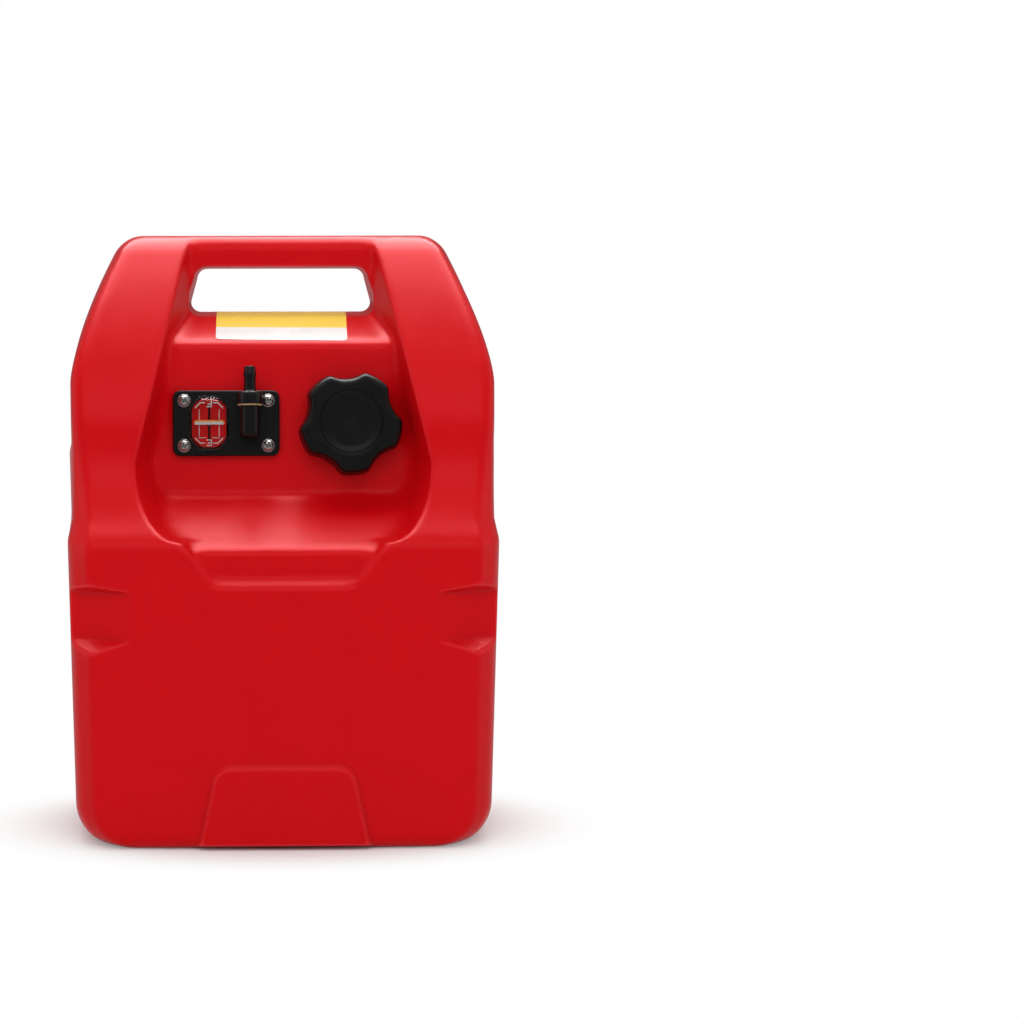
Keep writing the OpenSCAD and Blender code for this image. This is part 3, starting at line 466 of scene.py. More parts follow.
class TankForm:
    """Depths and half widths of the shell as functions of height, from the named sizes."""

    crease_drop = 11 * MM
    lean_lead = 20 * MM
    swell_h = 30 * MM
    scoop_inset = 20 * MM
    step_climb = 90 * MM
    step_fade = 8 * MM
    edge_soft = 8 * MM
    shoulder_soft = 15 * MM
    crease_soft = 8 * MM
    lip_drop = 7 * MM
    recess_round = 3.5 * MM
    corner_fill = 14 * MM
    bevel_round = 4.5 * MM
    side_round = 14 * MM
    min_draft = 6.5 * MM
    relief_draft = 1.2 * MM
    foot_z = 3 * MM
    foot_r = 15 * MM
    pad_sink = 1 * MM
    pad_flat = 0.5 * MM
    upper_bevel = 0.5
    horn_power = 1.5
    lean_power = 1.6
    taper_power = 1.5
    taps = np.linspace(-1.0, 1.0, 17)
    bend_steps = 7
    end_levels = 14
    level_step = 2 * MM
    opening_steps = 9

    def __init__(self, sizes):
        s = self.s = sizes
        self.z_notch = s.lower_h - s.notch_h
        self.z_panel_low = s.lower_h + s.shelf_h
        self.z_panel_top = self.z_panel_low + s.panel_h
        self.z_panel = (self.z_panel_low + self.z_panel_top) / 2 - s.fit_drop
        self.z_gap = self.z_panel_top + s.ledge_h
        self.z_bar = self.z_gap + s.gap_h
        self.height = self.z_bar + s.bar_h
        self.z_hip = s.lower_h + s.horn_curve_h
        self.z_crease = self.z_panel_top - self.crease_drop
        self.z_close = self.height - s.top_taper_h
        self.z_wide = self.z_panel_low + self.swell_h
        self.y_front = s.foot_d - s.tank_d / 2
        self.y_back = s.tank_d / 2 - s.pad_d
        self.y_part = s.tank_d / 2 - s.parting_set
        self.y_bar_front = self.y_part - s.bar_d / 2
        self.y_bar_back = self.y_part + s.bar_d / 2
        self.y_hip = self.y_front + s.horn_set
        self.y_panel = self.y_front + s.panel_set

    def panel_frame(self, x, up):
        """Frame on the panel: X along it, Y up it, Z out of it."""
        s, c = math.sin(self.s.panel_tilt), math.cos(self.s.panel_tilt)
        return Matrix(((1, 0, 0, x), (0, s, -c, self.y_panel + up * s),
                       (0, c, s, self.z_panel + up * c), (0, 0, 0, 1)))

    def panel_y(self, z):
        return self.y_panel + (z - self.z_panel) * math.tan(self.s.panel_tilt)

    def horn_line(self, z):
        low = self.s.lower_h
        curve = mix(self.y_front, self.y_hip, 1 - (1 - ramp(z, low, self.z_hip)) ** 2)
        upper = mix(self.y_hip, self.y_bar_front, ramp(z, self.z_hip, self.height) ** self.horn_power)
        return np.where(z < low, self.y_front, np.where(z < self.z_hip, curve, upper))

    def recess_line(self, z):
        low, floor = self.s.lower_h, self.y_front + self.s.notch_d
        lip = low - self.lip_drop
        shelf = mix(floor, self.panel_y(self.z_panel_low), ramp(z, lip, self.z_panel_low))
        ledge = mix(self.panel_y(self.z_panel_top), self.y_bar_front, ramp(z, self.z_panel_top, self.z_gap))
        return np.select([z < self.z_notch, z < lip, z < self.z_panel_low, z < self.z_panel_top],
                         [self.y_front, floor, shelf, self.panel_y(z)], ledge)

    def groove(self, z):
        s = self.s
        top = s.strap_z + s.strap_h
        return s.strap_d * np.minimum(ramp(z, s.strap_z, s.strap_z + s.strap_low_slope),
                                      1 - ramp(z, top - s.strap_top_slope, top))

    def back_line(self, z):
        lean = ramp(z, self.z_crease - self.lean_lead, self.height) ** self.lean_power
        return mix(self.y_back, self.y_bar_back, lean) - self.groove(z)

    def scoop_line(self, z):
        return mix(self.back_line(np.minimum(z, self.z_crease)), self.y_bar_back,
                   ramp(z, self.z_crease, self.z_gap))

    def soft(self, line, z, reach):
        """A profile with its corners spread over a reach up and down."""
        weights = 1.0 + np.cos(math.pi * self.taps)
        return sum(w * line(z + t * reach) for t, w in zip(self.taps, weights)) / weights.sum()

    def end_round(self, z):
        return round_in(z, self.s.base_edge_r) + round_in(self.height - z, self.s.top_r)

    def horn_y(self, z):
        return self.soft(self.horn_line, z, self.shoulder_soft) + self.end_round(z)

    def recess_y(self, z):
        recess = self.soft(self.recess_line, z, self.crease_soft) + self.end_round(z)
        return np.maximum(self.horn_y(z), recess)

    def back_y(self, z):
        return self.soft(self.back_line, z, self.edge_soft) - self.end_round(z)

    def scoop_y(self, z):
        scoop = self.soft(self.scoop_line, z, self.edge_soft) - self.end_round(z)
        return np.minimum(self.back_y(z), scoop)

    def half_w(self, z):
        s = self.s
        return (s.tank_w / 2 - s.base_taper * (1 - ramp(z, 0.0, self.z_close))
                - s.top_taper * ramp(z, self.z_close, self.height) ** self.taper_power
                - round_in(z, s.corner_r) - round_in(self.height - z, s.top_r))

    def step_out(self, z, y):
        z0 = self.s.lower_h + self.step_fade + self.step_climb * ramp(y, self.y_front, self.y_back)
        return self.s.side_step * (1 - ramp(z, z0 - self.step_fade, z0 + self.step_fade))

    def recess_half(self, z):
        s = self.s
        wide, top = s.recess_w / 2, s.recess_top_w / 2
        foot = s.notch_w / 2 - s.notch_taper
        sides = foot + s.notch_taper * ramp(z, self.z_notch, s.lower_h)
        swell = mix(s.notch_w / 2, wide, np.sqrt(1 - (1 - ramp(z, s.lower_h, self.z_wide)) ** 2))
        return np.select([z < s.lower_h, z < self.z_wide], [sides, swell],
                         mix(wide, top, ramp(z, self.z_wide, self.height)))

    def scoop_half(self, z):
        return mix(self.s.recess_w / 2 - self.scoop_inset, self.s.recess_top_w / 2,
                   ramp(z, self.z_crease, self.height))

    def inset(self, line, z, wall, sign):
        """Offset of a profile by the wall: the envelope of a circle that rolls along it."""
        if wall == 0.0:
            return line(z)
        reach = [sign * line(z + wall * t) + wall * math.sqrt(1 - t * t) for t in self.taps]
        return sign * np.max(reach, axis=0)

    def rings(self, z, wall):
        """Level sections of the shell, or of its cavity where a wall is given."""
        s = self.s
        yh = self.inset(self.horn_y, z, wall, 1)
        yr = self.inset(self.recess_y, z, wall, 1)
        yb = self.inset(self.back_y, z, wall, -1)
        ys = self.inset(self.scoop_y, z, wall, -1)
        w = self.inset(self.half_w, z, wall, -1)
        xr = self.recess_half(z) + wall
        xs = self.scoop_half(z) + wall
        bevel = s.front_bevel * mix(1.0, self.upper_bevel, ramp(z, s.lower_h, self.z_panel))
        wf = w - s.side_draft + self.step_out(z, self.y_front)
        wb = w - s.side_draft + self.step_out(z, self.y_back)
        front_share = bevel / (self.y_part - self.y_front)
        back_share = s.back_bevel / (self.y_back - self.y_part)
        corners = [
            (xr - np.maximum(self.min_draft, s.recess_draft * (yr - yh)), yr, self.corner_fill),
            (xr, yh, self.recess_round),
            (wf - bevel, yh, self.bevel_round),
            (wf, mix(yh, self.y_part, front_share), self.side_round),
            (w + self.step_out(z, self.y_part), np.full_like(z, self.y_part), 0.0),
            (wb, mix(yb, self.y_part, back_share), self.side_round),
            (wb - s.back_bevel, yb, self.bevel_round),
            (xs, yb, self.recess_round),
            (xs - np.maximum(self.min_draft, s.recess_draft * (yb - ys)), ys, self.recess_round)]
        half = self.bend(corners, wall)
        mirrored = half[:, ::-1] * np.array([-1.0, 1.0])
        ring = np.concatenate([half, mirrored], axis=1)
        return np.concatenate([ring, np.broadcast_to(z[:, None, None], ring.shape[:2] + (1,))], axis=2)

    def bend(self, corners, wall):
        path = [np.stack([x, y], axis=1) for x, y, _ in corners]
        ends = [path[0] * [0.0, 1.0]] + path + [path[-1] * [0.0, 1.0]]
        points = []
        for i, (_, _, setback) in enumerate(corners):
            a, c, b = ends[i], ends[i + 1], ends[i + 2]
            if setback == 0.0 or wall > 0.0:
                points.append(c)
                continue
            p, q = (c + (e - c) * np.minimum(0.45, setback / np.linalg.norm(e - c, axis=1))[:, None]
                    for e in (a, b))
            for t in np.linspace(0.0, 1.0, self.bend_steps):
                points.append((1 - t) ** 2 * p + 2 * t * (1 - t) * c + t * t * q)
        return np.stack(points, axis=1)

    def levels(self, wall):
        low, top = wall, self.height - wall
        ends = self.s.corner_r * (1 - np.cos(np.linspace(0.0, math.pi / 2, self.end_levels)))
        middle = np.arange(low + self.s.corner_r, top - self.s.corner_r, self.level_step)
        return np.unique(np.concatenate([low + ends, middle, top - ends]))

    def opening(self, grow):
        """The handle opening, narrowest at the parting line."""
        s = self.s
        reach = s.bar_d / 2 + 2 * s.wall
        rings = []
        for k in np.linspace(-1.0, 1.0, self.opening_steps):
            e = grow + abs(k) * s.gap_flare * reach / (s.bar_d / 2)
            width = s.gap_w + 2 * e
            rings.append(front_ring(self.y_part + k * reach, width, width - s.gap_lean,
                                    self.z_gap - e, self.z_bar + e, s.gap_r + e))
        return loft("opening", rings)

    def strap_notch(self, side, grow):
        """A wedge-shaped notch in the front, deepest at the side."""
        s = self.s
        lead, clear = 12 * MM, 15 * MM
        floor_low, floor_h, low_slope, top_slope = 3 * MM, 38 * MM, 0.75, 0.37
        z0 = s.strap_z + floor_low - grow
        z1 = z0 + floor_h + 2 * grow
        rings = []
        for x in (s.side_notch_x - lead, s.tank_w / 2 + lead):
            deep = s.side_notch_d * (x - s.side_notch_x) / (s.tank_w / 2 - s.side_notch_x) + grow
            run = deep + clear
            rings.append([(side * x, self.y_front - clear, z0 - run * low_slope),
                          (side * x, self.y_front + deep, z0), (side * x, self.y_front + deep, z1),
                          (side * x, self.y_front - clear, z1 + run * top_slope)])
        return loft("strap_notch", rings)

    def voids(self, grow):
        """What cuts through the shell, and larger by the wall through its cavity."""
        return [self.opening(grow), self.strap_notch(-1, grow), self.strap_notch(1, grow)]

    def relief(self):
        """The front foot and the four back pads."""
        s = self.s
        wide, narrow = s.foot_w, s.foot_w - 2 * s.foot_taper
        rings = []
        for d in (-s.foot_d, 0.0, s.base_edge_r):
            e = self.relief_draft if d < 0 else 0.0
            rings.append(front_ring(self.y_front + d, wide - 3 * e, narrow - 3 * e, self.foot_z + e,
                                    s.foot_h - 2 * e, self.foot_r - e, square_foot=True))
        solids = [loft("foot", rings)]
        for sx in (-1, 1):
            for z in (s.pad_low_z, s.lower_h + s.pad_top_z):
                rings = []
                for d in (-self.pad_sink, 0.0, s.pad_d):
                    e = max(0.0, d)
                    w, h = s.pad_w - 2 * e, s.pad_h / 2 - e
                    ring = front_ring(self.y_back + d, w, w, z - h, z + h, w / 2 - self.pad_flat)
                    rings.append(ring + np.array([sx * s.pad_x, 0.0, 0.0]))
                solids.append(loft("pad", rings))
        return solids

    def recesses(self):
        """The two trapezoid recesses in the back."""
        s = self.s
        trap_r, over = 8 * MM, 5 * MM
        wide, narrow = s.foot_w, s.foot_w - 2 * s.foot_taper
        z_trap = s.strap_z + s.strap_h
        trap_low_w = s.trap_w - 2 * s.trap_taper * (1 + over / s.trap_h)
        upper, lower = [], []
        for k in (0, 1):
            e, y = self.relief_draft * k, self.y_back - s.trap_d * (1 - 2 * k)
            upper.append(front_ring(y, trap_low_w + 3 * e, s.trap_w + 3 * e, z_trap - over,
                                    z_trap + s.trap_h + e, trap_r, square_foot=True))
            lower.append(front_ring(y, wide + 3 * e, narrow + 3 * e, -over,
                                    self.foot_z + s.foot_h + e, self.foot_r, square_foot=True))
        return [loft("recess", upper), loft("recess", lower)]


def front_ring(y, foot_w, top_w, z0, z1, r, square_foot=False):
    """An upright ring facing the front, with rounded corners or with square lower ones."""
    corner_steps = 9
    points = []
    for width, z, start in ((top_w, z1, 0), (-top_w, z1, 90), (-foot_w, z0, 180), (foot_w, z0, 270)):
        if square_foot and z == z0:
            points.append((width / 2, y, z0))
            continue
        sx = 1 if width > 0 else -1
        cz = z1 - r if z == z1 else z0 + r
        for t in np.linspace(0.0, 90.0, corner_steps):
            a = math.radians(start + t)
            points.append((width / 2 - sx * r + r * math.cos(a), y, cz + r * math.sin(a)))
    return np.array(points)


# Shader tools


class Tree:
    """Adds and links the nodes of one shader tree."""

    def __init__(self, tree):
        self.tree = tree
        tree.nodes.clear()

    def add(self, kind, **values):
        node = self.tree.nodes.new(kind)
        for key, value in values.items():
            setattr(node, key, value)
        return node

    def feed(self, socket, value):
        if isinstance(value, bpy.types.NodeSocket):
            self.tree.links.new(value, socket)
        elif hasattr(value, "__len__") and len(value) == 3 and socket.type == "RGBA":
            socket.default_value = (*value, 1.0)
        else:
            socket.default_value = value

    def math(self, operation, a, b=0.0):
        node = self.add("ShaderNodeMath", operation=operation)
        self.feed(node.inputs[0], a)
        self.feed(node.inputs[1], b)
        return node.outputs[0]

    def noise(self, vector, scale, detail=3.0, rough=0.5):
        node = self.add("ShaderNodeTexNoise")
        self.feed(node.inputs["Vector"], vector)
        self.feed(node.inputs["Scale"], scale)
        node.inputs["Detail"].default_value = detail
        node.inputs["Roughness"].default_value = rough
        return node.outputs["Fac"]

    def remap(self, value, low, high, to_low=0.0, to_high=1.0, smooth=False):
        node = self.add("ShaderNodeMapRange", interpolation_type="SMOOTHSTEP" if smooth else "LINEAR")
        for key, v in (("Value", value), ("From Min", low), ("From Max", high),
                       ("To Min", to_low), ("To Max", to_high)):
            self.feed(node.inputs[key], v)
        return node.outputs["Result"]

    def blend(self, factor, a, b):
        node = self.add("ShaderNodeMix", data_type="RGBA")
        self.feed(node.inputs["Factor"], factor)
        self.feed(node.inputs[6], a)
        self.feed(node.inputs[7], b)
        return node.outputs[2]

    def bump(self, height, distance, normal=None):
        node = self.add("ShaderNodeBump")
        node.inputs["Distance"].default_value = distance
        self.feed(node.inputs["Height"], height)
        if normal is not None:
            self.feed(node.inputs["Normal"], normal)
        return node.outputs["Normal"]

    def position(self):
        return self.add("ShaderNodeTexCoord").outputs["Object"]

    def split(self, vector):
        node = self.add("ShaderNodeSeparateXYZ")
        self.feed(node.inputs[0], vector)
        return node.outputs


def node_group(name, inputs, outputs):
    """An empty shader group with its sockets; returns its tree and its two ends."""
    group = bpy.data.node_groups.new(name, "ShaderNodeTree")
    for label, kind in inputs:
        group.interface.new_socket(label, in_out="INPUT", socket_type=kind)
    for label, kind in outputs:
        group.interface.new_socket(label, in_out="OUTPUT", socket_type=kind)
    tree = Tree(group)
    return tree, tree.add("NodeGroupInput"), tree.add("NodeGroupOutput")


VALUE, COLOUR = "NodeSocketFloat", "NodeSocketColor"


def moulded_group():
    """Mottled colour, uneven gloss and a fine grain, as moulded plastic and rubber have."""
    tree, source, out = node_group(
        "Moulded surface",
        [("Colour", COLOUR), ("Shade", COLOUR), ("Mottle Scale", VALUE), ("Grain Scale", VALUE),
         ("Gloss Low", VALUE), ("Gloss High", VALUE)],
        [("Colour", COLOUR), ("Roughness", VALUE), ("Grain", VALUE)])
    at = tree.position()
    mottle = tree.noise(at, source.outputs["Mottle Scale"], detail=4.0, rough=0.6)
    mask = tree.remap(mottle, 0.3, 0.7, smooth=True)
    tree.feed(out.inputs["Colour"], tree.blend(mask, source.outputs["Shade"], source.outputs["Colour"]))
    fine = tree.noise(at, source.outputs["Grain Scale"], rough=0.55)
    both = tree.math("ADD", tree.math("MULTIPLY", mottle, 0.5), tree.math("MULTIPLY", fine, 0.5))
    tree.feed(out.inputs["Roughness"], tree.remap(both, 0.3, 0.7, source.outputs["Gloss Low"],
                                                  source.outputs["Gloss High"]))
    tree.feed(out.inputs["Grain"], fine)
    return tree.tree


def edge_wear_group():
    """A paler colour along convex edges, broken up by noise."""
    tree, source, out = node_group(
        "Edge wear",
        [("Colour", COLOUR), ("Worn Colour", COLOUR), ("Start", VALUE), ("Amount", VALUE)],
        [("Colour", COLOUR)])
    fade = 0.08
    edge = tree.add("ShaderNodeNewGeometry").outputs["Pointiness"]
    end = tree.math("ADD", source.outputs["Start"], fade)
    rubbed = tree.remap(edge, source.outputs["Start"], end, smooth=True)
    at = tree.position()
    patchy = tree.remap(tree.noise(at, 260.0, detail=4.0, rough=0.65), 0.4, 0.65)
    mask = tree.math("MULTIPLY", tree.math("MULTIPLY", rubbed, patchy), source.outputs["Amount"])
    worn = tree.blend(mask, source.outputs["Colour"], source.outputs["Worn Colour"])
    tree.feed(out.inputs["Colour"], worn)
    return tree.tree


def shared_group(name):
    if name not in bpy.data.node_groups:
        {"Moulded surface": moulded_group, "Edge wear": edge_wear_group}[name]()
    return bpy.data.node_groups[name]


def new_material(name, **constants):
    """A material with a Principled shader, whose own sockets take the constants."""
    material = bpy.data.materials.new(name)
    material.use_nodes = True
    tree = Tree(material.node_tree)
    shader = tree.add("ShaderNodeBsdfPrincipled")
    out = tree.add("ShaderNodeOutputMaterial")
    tree.feed(out.inputs["Surface"], shader.outputs["BSDF"])
    for key, value in constants.items():
        tree.feed(shader.inputs[key.replace("_", " ")], value)
    return material, tree, shader


def use_group(tree, name, **values):
    node = tree.add("ShaderNodeGroup", node_tree=shared_group(name))
    for key, value in values.items():
        tree.feed(node.inputs[key.replace("_", " ")], value)
    return node


def use_moulded(tree, colour, shade_colour, gloss, mottle, grain):
    return use_group(tree, "Moulded surface", Colour=colour, Shade=shade_colour, Mottle_Scale=mottle,
                     Grain_Scale=grain, Gloss_Low=gloss[0], Gloss_High=gloss[1])


def coat(tree, shader, surface, skin, grain_mm, normal=None):
    """Feeds a shader with a colour and with the gloss and the grain of a moulded surface."""
    tree.feed(shader.inputs["Base Color"], skin)
    tree.feed(shader.inputs["Roughness"], surface.outputs["Roughness"])
    tree.feed(shader.inputs["Normal"], tree.bump(surface.outputs["Grain"], grain_mm * MM, normal))


def darker(colour, share):
    return [share * v for v in colour]


def moulded_material(name, colour, share, gloss, mottle=60.0, grain=900.0, grain_mm=0.05,
                     specular=0.5, worn=None):
    """Plastic or rubber with the shared moulded surface, and worn edges where asked."""
    if name in bpy.data.materials:
        return bpy.data.materials[name]
    material, tree, shader = new_material(name, Specular_IOR_Level=specular)
    surface = use_moulded(tree, colour, darker(colour, share), gloss, mottle, grain)
    skin = surface.outputs["Colour"]
    if worn is not None:
        skin = use_group(tree, "Edge wear", Colour=skin, Worn_Colour=worn, Start=0.54,
                         Amount=0.8).outputs["Colour"]
    coat(tree, shader, surface, skin, grain_mm)
    return material


def tank_material():
    """Red polyethylene: a fine grain, slow waves from blow moulding, the mould's parting seam, painted
    shade in the creases and a painted highlight on the ridges.
    """
    finish = settings("finish")
    form = TankForm(settings("tank"))
    material, tree, shader = new_material("red_polyethylene", Specular_IOR_Level=0.28,
                                          Specular_Tint=(1.0, 0.3, 0.33))
    surface = use_moulded(tree, finish.tank_red, finish.tank_deep, (0.27, 0.36), mottle=26.0,
                          grain=1100.0)
    edge = tree.add("ShaderNodeNewGeometry").outputs["Pointiness"]
    # painted shade: this mask darkens the shell in its concave creases, found from the mesh's pointiness
    sunk = tree.math("MULTIPLY", tree.remap(edge, 0.45, 0.495, 1.0, 0.0, smooth=True), 0.75)
    # painted highlight: this mask lightens the shell along its convex ridges, found from the mesh's
    # pointiness
    ridge_highlight = tree.math("MULTIPLY", tree.remap(edge, 0.506, 0.56, smooth=True), 0.7)
    skin = tree.blend(sunk, surface.outputs["Colour"], finish.painted_crease_shade)
    skin = tree.blend(ridge_highlight, skin, finish.painted_ridge_highlight)
    at = tree.position()
    away = tree.math("ABSOLUTE", tree.math("SUBTRACT", tree.split(at)["Y"], form.y_part))
    seam = tree.remap(away, 0.2 * MM, 1.1 * MM, 1.0, 0.0, smooth=True)
    waves = tree.noise(at, 17.0, detail=2.0, rough=0.4)
    normal = tree.bump(seam, 0.35 * MM, tree.bump(waves, 0.5 * MM))
    coat(tree, shader, surface, skin, grain_mm=0.06, normal=normal)
    return material


def black_material(name, colour, specular):
    return moulded_material(name, colour, 0.8, (0.3, 0.42), mottle=90.0, grain=1500.0,
                            specular=specular, worn=settings("finish").worn_black)


def cap_material():
    return black_material("black_cap", settings("finish").cap_black, 0.21)


def plate_material():
    return black_material("black_plate", settings("finish").plate_black, 0.27)


def metal_material(name, colour, gloss):
    """Turned metal with fine tool lines and slight tarnish."""
    if name in bpy.data.materials:
        return bpy.data.materials[name]
    material, tree, shader = new_material(name, Metallic=1.0)
    surface = use_moulded(tree, colour, darker(colour, 0.78), gloss, mottle=420.0, grain=2600.0)
    coat(tree, shader, surface, surface.outputs["Colour"], grain_mm=0.012)
    return material


def steel_material():
    return metal_material("steel", settings("finish").steel, (0.14, 0.3))


def lens_material():
    """Clear moulded plastic with a faint haze."""
    material, tree, shader = new_material("clear_plastic", Base_Color=(0.99, 0.99, 0.99),
                                          Transmission_Weight=1.0, IOR=1.3)
    haze = tree.noise(tree.position(), 180.0)
    tree.feed(shader.inputs["Roughness"], tree.remap(haze, 0.3, 0.8, 0.0, 0.012))
    return material


def sticker_material(name, front):
    """Coated paper: bare on the back, and with a yellow band across the top on the front."""
    finish = settings("finish")
    material, tree, shader = new_material(name, Specular_IOR_Level=0.2)
    white = finish.sticker_white if front else finish.sticker_back
    paper = use_moulded(tree, white, darker(white, 0.93), (0.32, 0.45), mottle=70.0, grain=1800.0)
    skin = paper.outputs["Colour"]
    if front:
        up = tree.split(tree.add("ShaderNodeTexCoord").outputs["UV"])["Y"]
        band = tree.remap(up, 0.31, 0.315)
        yellow = finish.sticker_yellow
        ink = tree.blend(tree.noise(tree.position(), 300.0), yellow, darker(yellow, 0.94))
        skin = tree.blend(band, skin, ink)
    coat(tree, shader, paper, skin, grain_mm=0.02)
    return material


# Operators


class FUELTANK_OT_shell(bpy.types.Operator):
    """Build the moulded shell with its filler neck"""

    bl_idname = "fueltank.shell"
    bl_label = "Shell"

    def execute(self, context):
        s, c, g = settings("tank"), settings("cap"), settings("gauge")
        form = TankForm(s)
        shell = loft("tank_shell", form.rings(form.levels(0.0), 0.0))
        combine(shell, form.relief(), "UNION")
        combine(shell, form.voids(0.0) + form.recesses(), "DIFFERENCE")
        mould(shell, s.voxel, s.soften)
        combine(shell, self.neck(form, s, c), "UNION")
        cavity = loft("cavity", form.rings(form.levels(s.wall), s.wall))
        combine(cavity, form.voids(s.wall), "DIFFERENCE")
        combine(shell, [cavity] + self.holes(form, s, c, g), "DIFFERENCE")
        shade(shell, 42.0)
        dress(shell, tank_material(), "tank", "tank_red", "tank_body")
        return {"FINISHED"}

    def neck(self, form, s, c):
        """The neck's solid and its thread."""
        at = form.panel_frame(c.cap_x, -c.cap_drop)
        outer = c.bore_r + c.neck_wall
        foot, rim = -s.wall / 2, 1.2 * MM
        body = lathe("neck", rounded_profile(
            [(2 * MM, foot, 0.0), (outer + 1 * MM, foot, 0.0), (outer, 1.5 * MM, rim),
             (outer, c.neck_h, rim), (2 * MM, c.neck_h, 0.0)], rim), steps=144)
        plug = lathe("plug", [(2.5 * MM, c.neck_h), (2.5 * MM, foot), (0.2 * MM, foot),
                              (0.2 * MM, c.neck_h)], steps=24)
        turns, steps, run_in, half = 1.7, 110, 0.08, 1.4 * MM
        start, sunk, root = 4.5 * MM, -0.2 * MM, outer - 1 * MM
        rings = []
        for t in np.linspace(0.0, turns, steps):
            a = 2 * math.pi * t
            z = start + c.thread_pitch * t
            fade = min(1.0, t / run_in, (turns - t) / run_in)
            crest = outer + mix(sunk, c.thread_h, max(0.0, fade))
            rings.append([(r * math.cos(a), r * math.sin(a), z + dz) for r, dz in
                          ((root, -half), (crest, -0.4 * half), (crest, 0.4 * half), (root, half))])
        thread = loft("thread", rings)
        return [place(part, at) for part in (body, plug, thread)]

    def holes(self, form, s, c, g):
        """The filler's bore, the gauge's port and the holes of the inserts."""
        deep, port_r, insert_r = 3 * s.wall, 8 * MM, 4.55 * MM
        ring = circle(steps=72)
        bore = prism("bore", c.bore_r * ring, -deep, c.neck_h + s.wall)
        solids = [place(bore, form.panel_frame(c.cap_x, -c.cap_drop))]
        at = plate_frame(g)
        solids.append(place(prism("port", outline(g.port_w, g.port_h, port_r), -deep, s.wall), at))
        for sx in (-0.5, 0.5):
            for sy in (-0.5, 0.5):
                hole = insert_r * ring[::3] + np.array([sx * g.screw_dx, sy * g.screw_dy])
                solids.append(place(prism("hole", hole, -deep, s.wall), at))
        return solids


class FUELTANK_OT_cap(bpy.types.Operator):
    """Build the lobed fill cap"""

    bl_idname = "fueltank.cap"
    bl_label = "Fill cap"
    lobe_steps = 60

    def execute(self, context):
        c = settings("cap")
        form = TankForm(settings("tank"))
        z_seal = c.neck_h + c.gasket_t
        z_cap = z_seal + c.cap_top + c.dish_d
        skirt = c.bore_r + c.neck_wall + c.skirt_clear
        boss, hole = c.vent_r + 2.3 * MM, 0.8 * MM
        edge, start, draw = 4.6 * MM, -0.9 * MM, 4.4 * MM
        bead, z_bead = 0.8 * MM, c.cap_lift + 0.7 * MM
        rings = [self.lobed(c, 0.3 * MM, c.cap_lift)]
        for t in (0.0, 0.3, 0.6, 0.9):
            rings.append(self.lobed(c, mix(bead, start, t), mix(z_bead, z_cap - edge, t)))
        for t in np.linspace(0.0, math.pi / 2, 9):
            rings.append(self.lobed(c, start - draw * (1 - math.cos(t)), z_cap - edge * (1 - math.sin(t))))
        rim = self.round(c, c.dish_r + 0.7 * MM, z_cap)
        rings += [mix(rings[-1], rim, t) for t in (0.25, 0.5, 0.75)]
        # the dish from its rim inwards, in millimetres from its radius and from the cap's top or its floor
        z_dish, sink = z_cap - c.dish_d, 0.1 * MM
        step = ((0.7, 0.0), (0.2, -0.12), (0.0, -0.4), (-0.1, -1.15), (-0.5, -1.25), (-1.0, -0.95),
                (-1.6, -0.9))
        floor = ((-4.4, 0.5), (-5.4, 0.12), (-6.6, 0.0))
        profile = [(c.dish_r + r * MM, z_cap + z * MM) for r, z in step]
        profile += [(c.dish_r + r * MM, z_dish + z * MM) for r, z in floor]
        z_boss, foot = z_seal - c.vent_boss_h, 0.5 * MM
        profile += [(10 * MM, z_dish - sink), (hole, z_dish - sink), (hole, z_seal), (c.vent_r, z_seal),
                    (c.vent_r, z_boss), (boss, z_boss), (boss, z_seal), (skirt, z_seal),
                    (skirt, c.cap_lift + foot), (skirt + foot, c.cap_lift)]
        rings += [self.round(c, r, z) for r, z in profile]
        cap = loft("fill_cap_skin", rings, closed=True)
        at = form.panel_frame(c.cap_x, -c.cap_drop)
        set_up(cap, at, 38.0, cap_material(), "cap", "cap_black", "fill_cap")
        return {"FINISHED"}

    def turns(self, c):
        return np.arange(c.lobes * self.lobe_steps) / self.lobe_steps

    def ring(self, c, r, z):
        a = 2 * math.pi * self.turns(c) / c.lobes - math.pi / 2 + c.lobe_turn
        return np.stack([r * np.cos(a), r * np.sin(a), np.full(len(a), z)], axis=1)

    def round(self, c, r, z):
        return self.ring(c, np.full(c.lobes * self.lobe_steps, r), z)

    def lobed(self, c, grow, z):
        """Broad lobes parted by round hollows, with the corners between them softened."""
        dip = c.lobe_d - c.cap_r + math.sqrt(c.cap_r ** 2 - c.hollow_w ** 2 / 4)
        radius = (c.hollow_w ** 2 / 4 + dip ** 2) / (2 * dip)
        far = c.cap_r - c.lobe_d + radius
        half = math.asin(c.hollow_w / 2 / c.cap_r)
        turn = self.turns(c)
        middle = 2 * math.pi / c.lobes * (turn - np.floor(turn) - 0.5)
        line = np.zeros_like(middle)
        taps = np.radians(np.linspace(-3.0, 3.0, 9))
        for tap in taps:
            a = np.clip(middle + tap, -half, half)
            line += far * np.cos(a) - np.sqrt(radius ** 2 - (far * np.sin(a)) ** 2)
        return self.ring(c, grow + line / len(taps), z)


def plate_frame(g):
    """Frame on the panel behind the gauge plate's middle."""
    return TankForm(settings("tank")).panel_frame(-g.plate_x, 0.0)


def plate_face(g):
    return g.gasket_t + g.plate_t


def octagon(w, h, cut, corner=0.0):
    """An octagon as an array of x and y, its corners rounded where asked."""
    points = [(w / 2, cut - h / 2), (w / 2, h / 2 - cut), (w / 2 - cut, h / 2), (cut - w / 2, h / 2),
              (-w / 2, h / 2 - cut), (-w / 2, cut - h / 2), (cut - w / 2, -h / 2), (w / 2 - cut, -h / 2)]
    return np.array(rounded_profile(points, corner, steps=5)) if corner else np.array(points)


def lens_outline(g, inset, corner=0.0):
    return octagon(g.lens_w - 2 * inset, g.lens_h - 2 * inset, g.lens_chamfer - 0.6 * inset, corner)


